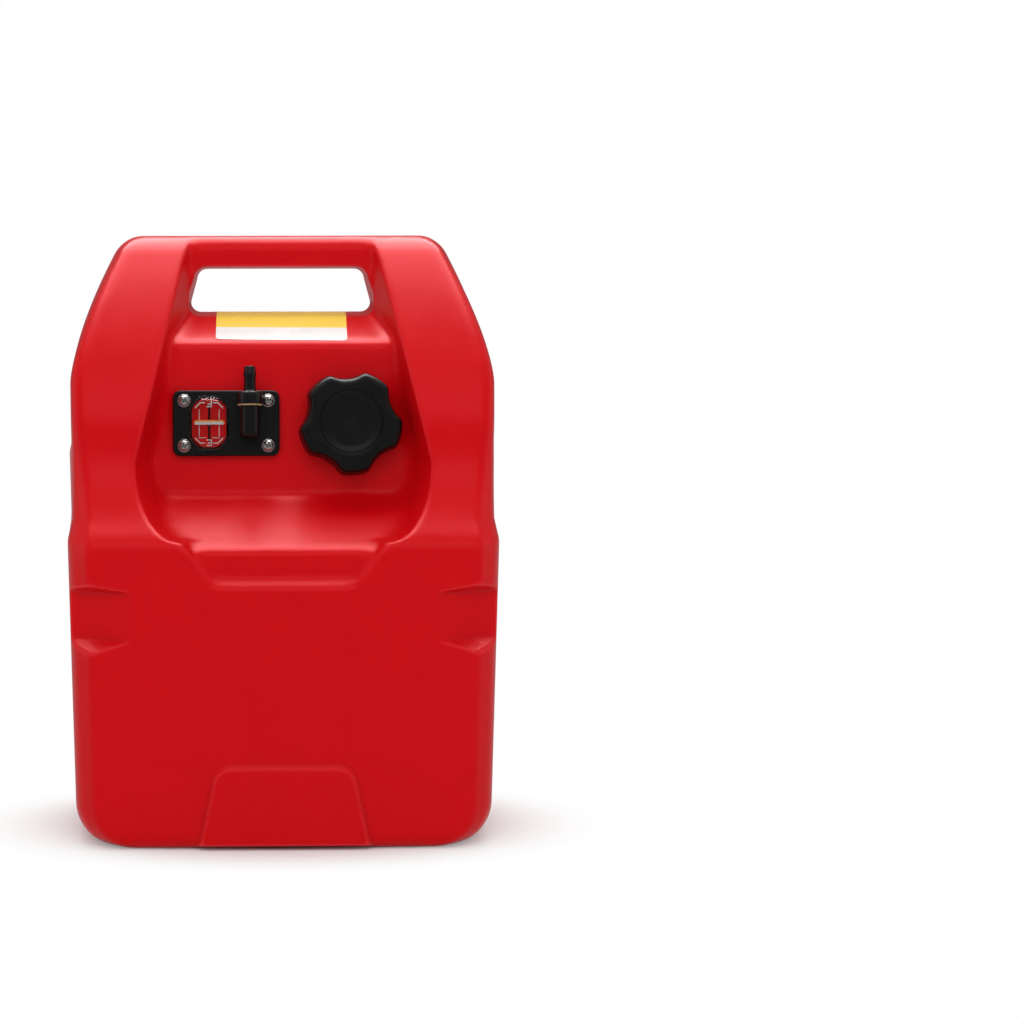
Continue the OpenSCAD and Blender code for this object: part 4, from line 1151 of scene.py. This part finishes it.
def window_outline(g, inset=0.0):
    """The opening in the plate under the lens."""
    frame_w, cut = 3 * MM, 4 * MM
    side = 2 * (frame_w + inset)
    return octagon(g.lens_w - side, g.lens_h - side, cut)


class FUELTANK_OT_gauge_plate(bpy.types.Operator):
    """Build the gauge plate with its elbow, the hose barb and its washer"""

    bl_idname = "fueltank.gauge_plate"
    bl_label = "Gauge plate"

    def execute(self, context):
        g = settings("gauge")
        at, z_face = plate_frame(g), plate_face(g)
        edge, voxel, rounds = 0.5 * MM, 0.55 * MM, 3
        ring = outline(g.plate_w, g.plate_h, g.plate_r)
        inner = outline(g.plate_w - 2 * edge, g.plate_h - 2 * edge, g.plate_r - edge)
        plate = loft("gauge_plate_skin", [at_height(ring, g.gasket_t), at_height(ring, z_face - edge),
                                          at_height(inner, z_face)])
        combine(plate, self.elbow(g, z_face), "UNION")
        mould(plate, voxel, rounds)
        combine(plate, self.cuts(g, z_face), "DIFFERENCE")
        set_up(plate, at, 40.0, plate_material(), "tank", "plate_black", "gauge_plate")
        self.barb(g, at, z_face)
        return {"FINISHED"}

    def elbow(self, g, z_face):
        """The elbow on its stand, with the spigot behind the plate."""
        z = z_face + g.elbow_rise
        along = Matrix.Translation((g.elbow_x, 0.0, z)) @ Matrix.Rotation(-math.pi / 2, 4, "X")
        bottom, top, axis = -g.elbow_end, g.elbow_top, 0.3 * MM
        body = lathe("elbow", rounded_profile(
            [(axis, bottom, 0.0), (g.elbow_r, bottom, 2.6 * MM), (g.elbow_r, top, 0.4 * MM),
             (axis, top, 0.0)], 1 * MM, steps=6), steps=64)
        core = prism("core", outline(1 * MM, 1 * MM, 0.3 * MM, steps=3), bottom, top)
        low, high, half = bottom + 2.5 * MM, top - 0.6 * MM, g.elbow_r - 0.6 * MM
        ring = outline(2 * half, high - low, 1.5 * MM, steps=5)
        ring += np.array([g.elbow_x, (low + high) / 2])
        stand = prism("stand", ring, z_face - 2 * MM, z)
        wall, reach, sunk, drop = 1.8 * MM, 14 * MM, 1 * MM, 5 * MM
        inner, outer = g.fuel_r, g.fuel_r + wall
        z0, z1 = g.gasket_t - reach, g.gasket_t + sunk
        spigot = lathe("spigot", [(inner, z0), (outer, z0), (outer, z1), (inner, z1)], steps=40)
        place(spigot, Matrix.Translation((g.elbow_x, -drop, 0.0)))
        return [place(body, along), place(core, along), stand, spigot]

    def cuts(self, g, z_face):
        """The lens's pocket and the window under it."""
        shift, over = np.array([-g.lens_x, 0.0]), z_face + 1 * MM
        return [prism("pocket", lens_outline(g, -1.05 * MM) + shift, z_face - 2 * MM, over),
                prism("window", window_outline(g) + shift, 0.0, over)]

    def barb(self, g, at, z_face):
        """The hose barb with its collar, and the fibre washer under it."""
        top = at @ Matrix.Translation((g.elbow_x, g.elbow_top, z_face + g.elbow_rise))
        top = top @ Matrix.Rotation(-math.pi / 2, 4, "X")
        washer_t, collar_h, stem_h, clear = 1.2 * MM, 10 * MM, 8 * MM, 0.3 * MM
        collar_r = min(g.elbow_r + 3 * MM, g.elbow_rise - clear)
        z1 = washer_t + collar_h
        z2 = z1 + g.barb_h
        ridge, socket = g.barb_r + g.barb_ridge, g.fuel_r + 1.9 * MM
        profile = rounded_profile([
            (g.fuel_r, -stem_h), (socket, -stem_h), (socket, washer_t), (collar_r, washer_t, 0.6 * MM),
            (collar_r, z1, 1.5 * MM), (ridge + 0.8 * MM, z1, 0.6 * MM), (ridge, z1 + 0.9 * MM),
            (g.barb_r, z1 + 2 * MM), (g.barb_r, z2 - 8.5 * MM), (ridge, z2 - 8.4 * MM, 0.15 * MM),
            (ridge, z2 - 6 * MM, 0.4 * MM), (g.barb_r - g.barb_ridge, z2, 0.5 * MM),
            (g.fuel_r, z2, 0.4 * MM)], 0.25 * MM)
        barb = lathe("hose_barb_skin", profile, steps=64)
        set_up(barb, top, 35.0, plate_material(), "tank", "plate_black", "hose_barb")
        rim, bore = g.elbow_r + 2 * MM, socket + 0.15 * MM
        profile = rounded_profile([(bore, 0.0), (rim, 0.0), (rim, washer_t), (bore, washer_t)], 0.3 * MM)
        fibre = moulded_material("fibre_tan", settings("finish").tan, 0.7, (0.6, 0.8), mottle=500.0)
        washer = lathe("barb_washer_skin", profile, steps=64)
        set_up(washer, top, 35.0, fibre, "tank", "washer_tan", "barb_washer")


class FUELTANK_OT_gauge(bpy.types.Operator):
    """Build the lens, the dial, the printed marks and the pointer's flag"""

    bl_idname = "fueltank.gauge"
    bl_label = "Gauge"
    sheet_mm = 1.6
    print_t = 0.08 * MM
    print_gap = 0.02 * MM

    def execute(self, context):
        g, finish = settings("gauge"), settings("finish")
        at = plate_frame(g) @ Matrix.Translation((-g.lens_x, 0.0, 0.0))
        z_face = plate_face(g)
        z_top = z_face + g.lens_rise
        set_up(self.lens(g, z_face, z_top), at, 30.0, lens_material(), "tank", "lens_clear", "gauge_lens")
        red = moulded_material("red_dial", finish.dial_red, 0.9, (0.4, 0.5), mottle=200.0, specular=0.06)
        set_up(self.dial(g), at, 30.0, red, "tank", "dial_red", "gauge_dial")
        set_up(self.surround(g, z_face), at, 30.0, red, "tank", "dial_red")
        ink = moulded_material("print_white", finish.print_white, 0.93, (0.35, 0.5), mottle=400.0)
        paint(ink, "gauge_pointer")
        z_print = z_top - self.sheet_mm * MM - self.print_gap
        for marks, z in ((self.dial_marks(g), g.gasket_t + self.print_t + self.print_gap),
                         (self.lens_marks(g), z_print)):
            place(marks, at @ Matrix.Translation((0.0, 0.0, z)))
            dress(marks, ink, "tank", "pointer_white")
        orange = moulded_material("flag_orange", finish.orange, 0.9, (0.3, 0.45), mottle=300.0)
        dress(place(self.flag(z_face), at), orange, "gauge_float", "pointer_white")
        return {"FINISHED"}

    def lens(self, g, z_face, z_top):
        """The lens from its foot outside, over its top and down inside; steps are in millimetres."""
        z_foot, bend, under = z_face - 1 * MM, 2.4 * MM, -self.sheet_mm
        flange = ((-0.9, 0.4), (-0.7, 0.6), (0.0, 0.9))
        crown = ((0.3, -2.8), (0.6, -1.7), (1.0, -1.1), (2.2, -0.2), (2.8, 0.0), (8.0, 0.0),
                 (8.0, under), (3.0, under), (2.2, -2.2), (1.8, -3.2))
        profile = [(-0.9 * MM, z_foot)]
        profile += [(d * MM, z_face + z * MM) for d, z in flange]
        profile += [(d * MM, z_top + z * MM) for d, z in crown]
        profile += [(1.5 * MM, z_face + 0.9 * MM), (1.5 * MM, z_foot)]
        top = 1 + len(flange) + crown.index((8.0, 0.0))
        return self.capped([at_height(lens_outline(g, d, bend), z) for d, z in profile], top)

    def capped(self, rings, top):
        """The lens's wall, closed over its top by two flat faces."""
        wall = loft("gauge_lens_skin", rings, closed=True)
        work = bmesh.new()
        work.from_mesh(wall.data)
        work.verts.ensure_lookup_table()
        steps = len(rings[0])
        inner = [f for f in work.faces if all(v.index // steps in (top, top + 1) for v in f.verts)]
        bmesh.ops.delete(work, geom=inner, context="FACES_ONLY")
        work.verts.ensure_lookup_table()
        for row in (top, top + 1):
            work.faces.new([work.verts[row * steps + j] for j in range(steps)])
        bmesh.ops.recalc_face_normals(work, faces=work.faces)
        work.to_mesh(wall.data)
        work.free()
        return wall

    def dial(self, g):
        """The dial, with a slot for the pointer's stem."""
        wide, tall, corner, back = 29 * MM, 40 * MM, 8 * MM, 0.2 * MM
        slot_w, slot_h, slot_r, over = 1.9 * MM, 30 * MM, 0.9 * MM, 1 * MM
        dial = prism("gauge_dial_skin", outline(wide, tall, corner), back, g.gasket_t)
        slot = prism("slot", outline(slot_w, slot_h, slot_r), -over, g.gasket_t + over)
        combine(dial, [slot], "DIFFERENCE")
        return dial

    def surround(self, g, z_face):
        """A red frame inside the lens that lines the window down to the dial."""
        window, inner, rim = window_outline(g), window_outline(g, 0.2 * MM), lens_outline(g, 1.7 * MM)
        low, top = g.gasket_t + 0.1 * MM, z_face + 0.5 * MM
        sections = ((window, low), (window, z_face), (rim, z_face), (rim, top), (inner, top), (inner, low))
        return loft("dial_surround", [at_height(ring, z) for ring, z in sections], closed=True)

    def strip(self, points, width):
        """A flat printed line through points."""
        parts = []
        for a, b in zip(points[:-1], points[1:]):
            a, b = np.array(a), np.array(b)
            along = (b - a) / np.linalg.norm(b - a)
            side = np.array([-along[1], along[0]]) * width / 2
            ends = (a - along * width / 4, b + along * width / 4)
            ring = np.array([ends[0] - side, ends[1] - side, ends[1] + side, ends[0] + side])
            parts.append(prism("line", ring, -self.print_t, 0.0))
        return parts

    def dial_marks(self, g):
        """A thin frame printed on the dial."""
        w, parts = 0.6 * g.line_w, []
        side, gap, low, high = 8.2 * MM, 2.6 * MM, -11 * MM, 11.4 * MM
        foot = low - 0.8 * MM
        for sx in (1, -1):
            parts += self.strip([(sx * side, low), (sx * side, high)], w)
            parts += self.strip([(sx * side, foot), (sx * gap, foot)], w)
        return join("dial_marks", parts)

    def lens_marks(self, g):
        """The bracket lines and the letters for full and empty, printed on the inside of the lens."""
        w, parts = 0.85 * g.line_w, []
        bracket = np.array([(3.6, 16.5), (7.2, 16.5), (11.3, 12.4)]) * MM
        for sy in (1, -1):
            for sx in (1, -1):
                parts += self.strip(bracket * [sx, sy], w)
        tall, wide = 2.2 * MM, 1.9 * MM
        for cy, rows in ((15.6 * MM, (-1, 0)), (-16.2 * MM, (-1, 0, 1))):
            parts += self.strip([(wide, cy - tall), (wide, cy + tall)], w)
            for row in rows:
                span, y = 1.5 if row == 0 else 2.0, cy + row * tall
                parts += self.strip([(wide - span * wide, y), (wide, y)], w)
        return join("lens_marks", parts)

    def flag(self, z_face):
        """An orange backing behind the pointer's bar, cut back to swing clear of the window's corners."""
        z_top, thick = z_face - 0.85 * MM, 0.3 * MM
        side = np.array([(12.3, -0.9), (12.3, 1.2), (11.0, 2.7)]) * MM
        ring = np.concatenate([side, side[::-1] * [-1.0, 1.0]])
        return prism("pointer_flag", ring, z_top - thick, z_top)


class FUELTANK_OT_fasteners(bpy.types.Operator):
    """Build the four plate screws with their cross recesses, and their washers"""

    bl_idname = "fueltank.fasteners"
    bl_label = "Screws and washers"

    def execute(self, context):
        g = settings("gauge")
        at, z_face = plate_frame(g), plate_face(g)
        first, across, up = 0.35, 0.9, 0.6
        heads, rims = [], []
        for i, sx in enumerate((-0.5, 0.5)):
            for j, sy in enumerate((-0.5, 0.5)):
                where = at @ Matrix.Translation((sx * g.screw_dx, sy * g.screw_dy, z_face))
                turned = where @ Matrix.Rotation(first + across * i + up * j, 4, "Z")
                heads.append(place(self.screw(z_face), turned))
                rims.append(place(self.washer(), where))
        for node, parts in (("plate_screws", heads), ("screw_washers", rims)):
            group = join(node + "_skin", parts)
            shade(group, 30.0)
            dress(group, steel_material(), "tank", "stainless", node)
        return {"FINISHED"}

    def screw(self, z_face):
        """A pan head with a cross recess on its shank."""
        seat, r, shank, core = 1 * MM, 4.5 * MM, 2.4 * MM, 0.3 * MM
        top, foot = seat + 3.2 * MM, -(z_face + 9.5 * MM)
        profile = rounded_profile([
            (core, foot, 0.0), (shank, foot, 0.5 * MM), (shank, seat, 0.0), (r, seat, 0.3 * MM),
            (r, seat + 1.7 * MM, 0.9 * MM), (r - 1.5 * MM, top - 0.35 * MM, 1.4 * MM),
            (1.6 * MM, top, 0.8 * MM), (core, top, 0.0)], 0.3 * MM, steps=5)
        screw = lathe("screw", profile, steps=48)
        plug = prism("plug", outline(1.2 * MM, 1.2 * MM, 0.3 * MM, steps=3), foot, top - 0.05 * MM)
        combine(screw, [plug], "UNION")
        arms, long, narrow, taper = [], 6 * MM, 1.7 * MM, 0.6
        for size in ((long, narrow), (narrow, long)):
            mouth = outline(*size, 0.4 * MM, steps=3)
            arms.append(loft("arm", [at_height(mouth * taper, seat + 0.7 * MM),
                                     at_height(mouth, top + 0.3 * MM)]))
        combine(screw, arms, "DIFFERENCE")
        return screw

    def washer(self):
        bore, rim, thick = 2.6 * MM, 5.4 * MM, 1 * MM
        corners = [(bore, 0.0), (rim, 0.0), (rim, thick), (bore, thick)]
        return lathe("washer", rounded_profile(corners, 0.25 * MM), steps=48)


class FUELTANK_OT_stickers(bpy.types.Operator):
    """Lay the two stickers on the front and back ledges"""

    bl_idname = "fueltank.stickers"
    bl_label = "Stickers"

    def execute(self, context):
        s, label = settings("tank"), settings("label")
        form = TankForm(s)
        tree = BVHTree.FromObject(bpy.data.objects["tank_shell"], context.evaluated_depsgraph_get())
        front_span, front_skew = (43.5 * MM, -18 * MM), (0.0, math.radians(-0.8))
        back_span, back_skew = (47 * MM, 93 * MM), (-1 * MM, math.radians(1.5))
        front = self.lay("front_sticker", tree, form, label, label.front_w, front_span, front_skew,
                         label.lift)
        back = self.lay("back_sticker", tree, form, label, label.back_w, back_span, back_skew, 0.0)
        dress(front, sticker_material("sticker_front", True), "tank", "pointer_white")
        dress(back, sticker_material("sticker_back", False), "tank", "pointer_white")
        return {"FINISHED"}

    def lay(self, name, tree, form, label, width, span, skew, lift):
        """A thin film that follows the ledge, from its edge at the opening downwards."""
        pitch, rows, drop, gap, still, curl = 2 * MM, 25, 10 * MM, 0.03 * MM, 0.45, 1.5
        top, foot = span
        tall = abs(top - foot)
        edge = outline(width, tall, label.corner_r, steps=9)
        dense = []
        for a, b in zip(edge, np.roll(edge, -1, axis=0)):
            steps = max(1, int(np.linalg.norm(b - a) / pitch))
            dense += [mix(a, b, t) for t in np.linspace(0.0, 1.0, steps, endpoint=False)]
        dense = np.array(dense)
        shift, turn = skew
        way = 1 if foot > top else -1
        points, flat = [], []
        for scale in np.linspace(1.0, 0.0, rows + 1)[:-1]:
            flat += list(dense * scale)
        flat.append(np.zeros(2))
        for x, v in flat:
            px = shift - way * (x * math.cos(turn) - v * math.sin(turn))
            py = (top + foot) / 2 - way * (x * math.sin(turn) + v * math.cos(turn))
            hit = tree.ray_cast(Vector((px, py, form.z_bar - drop)), Vector((0, 0, -1)))
            if hit[0] is None:
                raise RuntimeError(name + " misses the tank")
            near = max(0.0, -x / (width / 2)) * max(0.0, -v / (tall / 2))
            points.append(hit[0] + hit[1] * (gap + lift * max(0.0, near - still) ** curl))
        steps = len(dense)
        faces = bands(rows, steps) + fan(rows * steps, (rows - 1) * steps, steps)
        mesh = bpy.data.meshes.new(name)
        mesh.from_pydata([tuple(p) for p in points], [], faces)
        uv = mesh.uv_layers.new(name="Sticker")
        for loop in mesh.loops:
            x, v = flat[loop.vertex_index]
            uv.data[loop.index].uv = (x / width + 0.5, v / tall + 0.5)
        film = bpy.data.objects.new(name, mesh)
        bpy.context.scene.collection.objects.link(film)
        if mesh.polygons[0].normal.z < 0:
            mesh.flip_normals()
        thick = film.modifiers.new("Film", "SOLIDIFY")
        thick.thickness = label.film_t
        thick.offset = 1.0
        apply_modifiers(film)
        shade(film, 50.0)
        return film


class FUELTANK_OT_inner_parts(bpy.types.Operator):
    """Give the gaskets, the vent, the float gauge and the pickup their finishes"""

    bl_idname = "fueltank.inner_parts"
    bl_label = "Inner parts"

    def execute(self, context):
        finish = settings("finish")
        rubber = moulded_material("black_rubber", finish.rubber, 0.75, (0.6, 0.8), mottle=220.0,
                                  grain=1400.0)
        brown = moulded_material("brown_rubber", finish.valve, 0.7, (0.55, 0.75), mottle=300.0)
        foam = moulded_material("float_foam", finish.tan, 0.82, (0.75, 0.9), mottle=240.0, grain=700.0,
                                grain_mm=0.25)
        ivory = moulded_material("ivory_plastic", finish.ivory, 0.92, (0.35, 0.5), mottle=120.0)
        paint(rubber, "cap_gasket", "gauge_gasket", "lens_gasket")
        paint(steel_material(), "pivot_pin", "float_arm")
        paint(metal_material("brass", finish.brass, (0.2, 0.38)), "insert_nuts")
        paint(plate_material(), "vent_retainer", "gauge_bracket")
        paint(brown, "vent_valve")
        paint(foam, "float")
        paint(ivory, "pickup_tube", "pickup_strainer")
        self.spring()
        return {"FINISHED"}

    def spring(self):
        """The vent's spring as a steel copy of its CAD node, riding on the cap."""
        coil = bpy.data.objects.new("vent_spring_skin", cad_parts["vent_spring"].data.copy())
        bpy.context.scene.collection.objects.link(coil)
        dress(coil, steel_material(), "cap", "stainless", "vent_spring")
        out = np.array(TankForm(settings("tank")).panel_frame(0.0, 0.0))[:3, 2]
        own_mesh(coil)


class FUELTANK_OT_stage(bpy.types.Operator):
    """Set up the floor, the surround, the lights and the camera"""

    bl_idname = "fueltank.stage"
    bl_label = "Stage"

    def execute(self, context):
        st = settings("stage")
        scene = context.scene
        scene.view_settings.view_transform = "Standard"
        self.floor(st)
        self.surround(scene, st)
        middle = Vector((0.0, 0.0, TankForm(settings("tank")).height / 2))
        for lamp in (("overhead", (0.0, 0.35, 2.25), (0.0, 0.1, 0.3), (1.9, 1.9), 20.0),
                     ("overhead_sheen", (0.0, 0.55, 2.2), (0.0, 0.0, 0.3), (2.2, 1.9), 125.0, True),
                     ("front_fill", (0.0, -2.6, 2.1), middle, (2.4, 1.4), 15.0),
                     ("left_sheen", (-2.2, -0.3, 0.6), middle, (1.0, 1.8), 6.0, True),
                     ("right_sheen", (2.2, -0.3, 0.6), middle, (1.0, 1.8), 6.0, True)):
            self.lamp(*lamp)
        self.camera(scene, st, middle)
        return {"FINISHED"}

    def floor(self, st):
        """A plain pale floor that keeps the tank's shadow and fades to white away from it."""
        steps, radii = 96, (0.4, 0.8, 1.6, 4.0, 14.0)
        rings = np.concatenate([at_height(r * circle(steps), 0.0) for r in radii])
        points = [*rings, (0.0, 0.0, 0.0)]
        floor = mesh_piece("floor", points, bands(len(radii), steps) + fan(len(rings), 0, steps))
        if floor.data.polygons[0].normal.z < 0:
            floor.data.flip_normals()
        material = bpy.data.materials.new("floor_white")
        material.use_nodes = True
        tree = Tree(material.node_tree)
        matt = tree.add("ShaderNodeBsdfDiffuse")
        matt.inputs["Color"].default_value = (0.82, 0.82, 0.82, 1.0)
        glow = tree.add("ShaderNodeEmission")
        glow.inputs["Color"].default_value = (1.0, 1.0, 1.0, 1.0)
        gloss = tree.add("ShaderNodeLightPath").outputs["Is Glossy Ray"]
        tree.feed(glow.inputs["Strength"], tree.remap(gloss, 0.0, 1.0, 1.0, st.world_sheen))
        oval = tree.add("ShaderNodeVectorMath", operation="MULTIPLY")
        tree.feed(oval.inputs[0], tree.add("ShaderNodeNewGeometry").outputs["Position"])
        oval.inputs[1].default_value = (0.7, 1.0, 1.0)
        flat = tree.add("ShaderNodeVectorMath", operation="LENGTH")
        tree.feed(flat.inputs[0], oval.outputs["Vector"])
        far = tree.remap(flat.outputs["Value"], 0.1, 0.2, smooth=True)
        both = tree.add("ShaderNodeMixShader")
        tree.feed(both.inputs["Fac"], tree.math("MULTIPLY", far, seen_directly(tree)))
        tree.feed(both.inputs[1], matt.outputs["BSDF"])
        tree.feed(both.inputs[2], glow.outputs["Emission"])
        tree.feed(tree.add("ShaderNodeOutputMaterial").inputs["Surface"], both.outputs["Shader"])
        floor.data.materials.append(material)

    def surround(self, scene, st):
        """White for the camera, dimmer walls for gloss, and a soft room light for all else."""
        world = bpy.data.worlds.new("surround")
        scene.world = world
        world.use_nodes = True
        tree = Tree(world.node_tree)
        back = tree.add("ShaderNodeBackground")
        back.inputs["Color"].default_value = (1.0, 1.0, 1.0, 1.0)
        split = tree.split(tree.add("ShaderNodeTexCoord").outputs["Generated"])
        facing = tree.math("ABSOLUTE", split["Y"])
        walls = tree.remap(facing, 0.2, 0.9, st.world_side, st.world_front, smooth=True)
        above = tree.remap(split["Z"], 0.1, 0.8, 0.0, st.world_top, smooth=True)
        room = tree.math("ADD", walls, above)
        dim = tree.remap(facing, 0.4, 0.9, st.world_sheen, st.world_dim, smooth=True)
        gloss = tree.add("ShaderNodeLightPath").outputs["Is Glossy Ray"]
        shown = tree.remap(gloss, 0.0, 1.0, 1.0, dim)
        tree.feed(back.inputs["Strength"], tree.remap(seen_directly(tree), 0.0, 1.0, room, shown))
        tree.feed(tree.add("ShaderNodeOutputWorld").inputs["Surface"], back.outputs["Background"])

    def lamp(self, name, where, target, size, power, gloss_only=False):
        data = bpy.data.lights.new(name, "AREA")
        data.shape = "RECTANGLE"
        data.size, data.size_y = size
        data.energy = power
        lamp = bpy.data.objects.new(name, data)
        lamp.visible_diffuse = not gloss_only
        lamp.location = where
        lamp.rotation_euler = (Vector(target) - Vector(where)).to_track_quat("-Z", "Y").to_euler()
        bpy.context.scene.collection.objects.link(lamp)

    def camera(self, scene, st, middle):
        """The camera looks at the tank, and its shift puts the tank where the frame wants it."""
        data = bpy.data.cameras.new("camera")
        data.lens = st.lens
        camera = bpy.data.objects.new("camera", data)
        flat = math.cos(st.elevation)
        away = Vector((math.sin(st.azimuth) * flat, -math.cos(st.azimuth) * flat, math.sin(st.elevation)))
        look = (-away).to_track_quat("-Z", "Y").to_matrix()
        data.shift_x = 0.5 - st.frame_x
        data.shift_y = st.frame_y - 0.5
        camera.location = middle + away * st.distance
        camera.rotation_euler = (look @ Matrix.Rotation(st.roll, 3, "Z")).to_euler()
        scene.collection.objects.link(camera)
        scene.camera = camera


def seen_directly(tree):
    """1 for rays from the camera, from gloss and through glass, else 0."""
    path = tree.add("ShaderNodeLightPath")
    either = tree.math("MAXIMUM", path.outputs["Is Camera Ray"], path.outputs["Is Transmission Ray"])
    return tree.math("MAXIMUM", either, path.outputs["Is Glossy Ray"])


OPERATORS = (FUELTANK_OT_shell, FUELTANK_OT_cap, FUELTANK_OT_gauge_plate, FUELTANK_OT_gauge,
             FUELTANK_OT_fasteners, FUELTANK_OT_stickers, FUELTANK_OT_inner_parts, FUELTANK_OT_stage)


class FUELTANK_PT_sidebar(bpy.types.Panel):
    """Lists the pieces of the fuel tank"""

    bl_label = "Fuel tank"
    bl_idname = "FUELTANK_PT_sidebar"
    bl_space_type = "VIEW_3D"
    bl_region_type = "UI"
    bl_category = "Fuel tank"

    def draw(self, context):
        for operator in OPERATORS:
            self.layout.operator(operator.bl_idname)
        for name, group in SETTINGS.items():
            box = self.layout.box()
            box.label(text=group.__doc__.split(".")[0])
            values = settings(name)
            for key in group.__annotations__:
                box.prop(values, key)


CLASSES = tuple(SETTINGS.values()) + OPERATORS + (FUELTANK_PT_sidebar,)


def register():
    for cls in CLASSES:
        bpy.utils.register_class(cls)
    for name, group in SETTINGS.items():
        setattr(bpy.types.Scene, "fuel_tank_" + name, PointerProperty(type=group))


def unregister():
    for name in SETTINGS:
        delattr(bpy.types.Scene, "fuel_tank_" + name)
    for cls in reversed(CLASSES):
        bpy.utils.unregister_class(cls)


def main():
    register()
    for build in (bpy.ops.fueltank.shell, bpy.ops.fueltank.cap, bpy.ops.fueltank.gauge_plate,
                  bpy.ops.fueltank.gauge, bpy.ops.fueltank.fasteners, bpy.ops.fueltank.stickers,
                  bpy.ops.fueltank.inner_parts, bpy.ops.fueltank.stage):
        build()


if __name__ == "__main__":
    main()
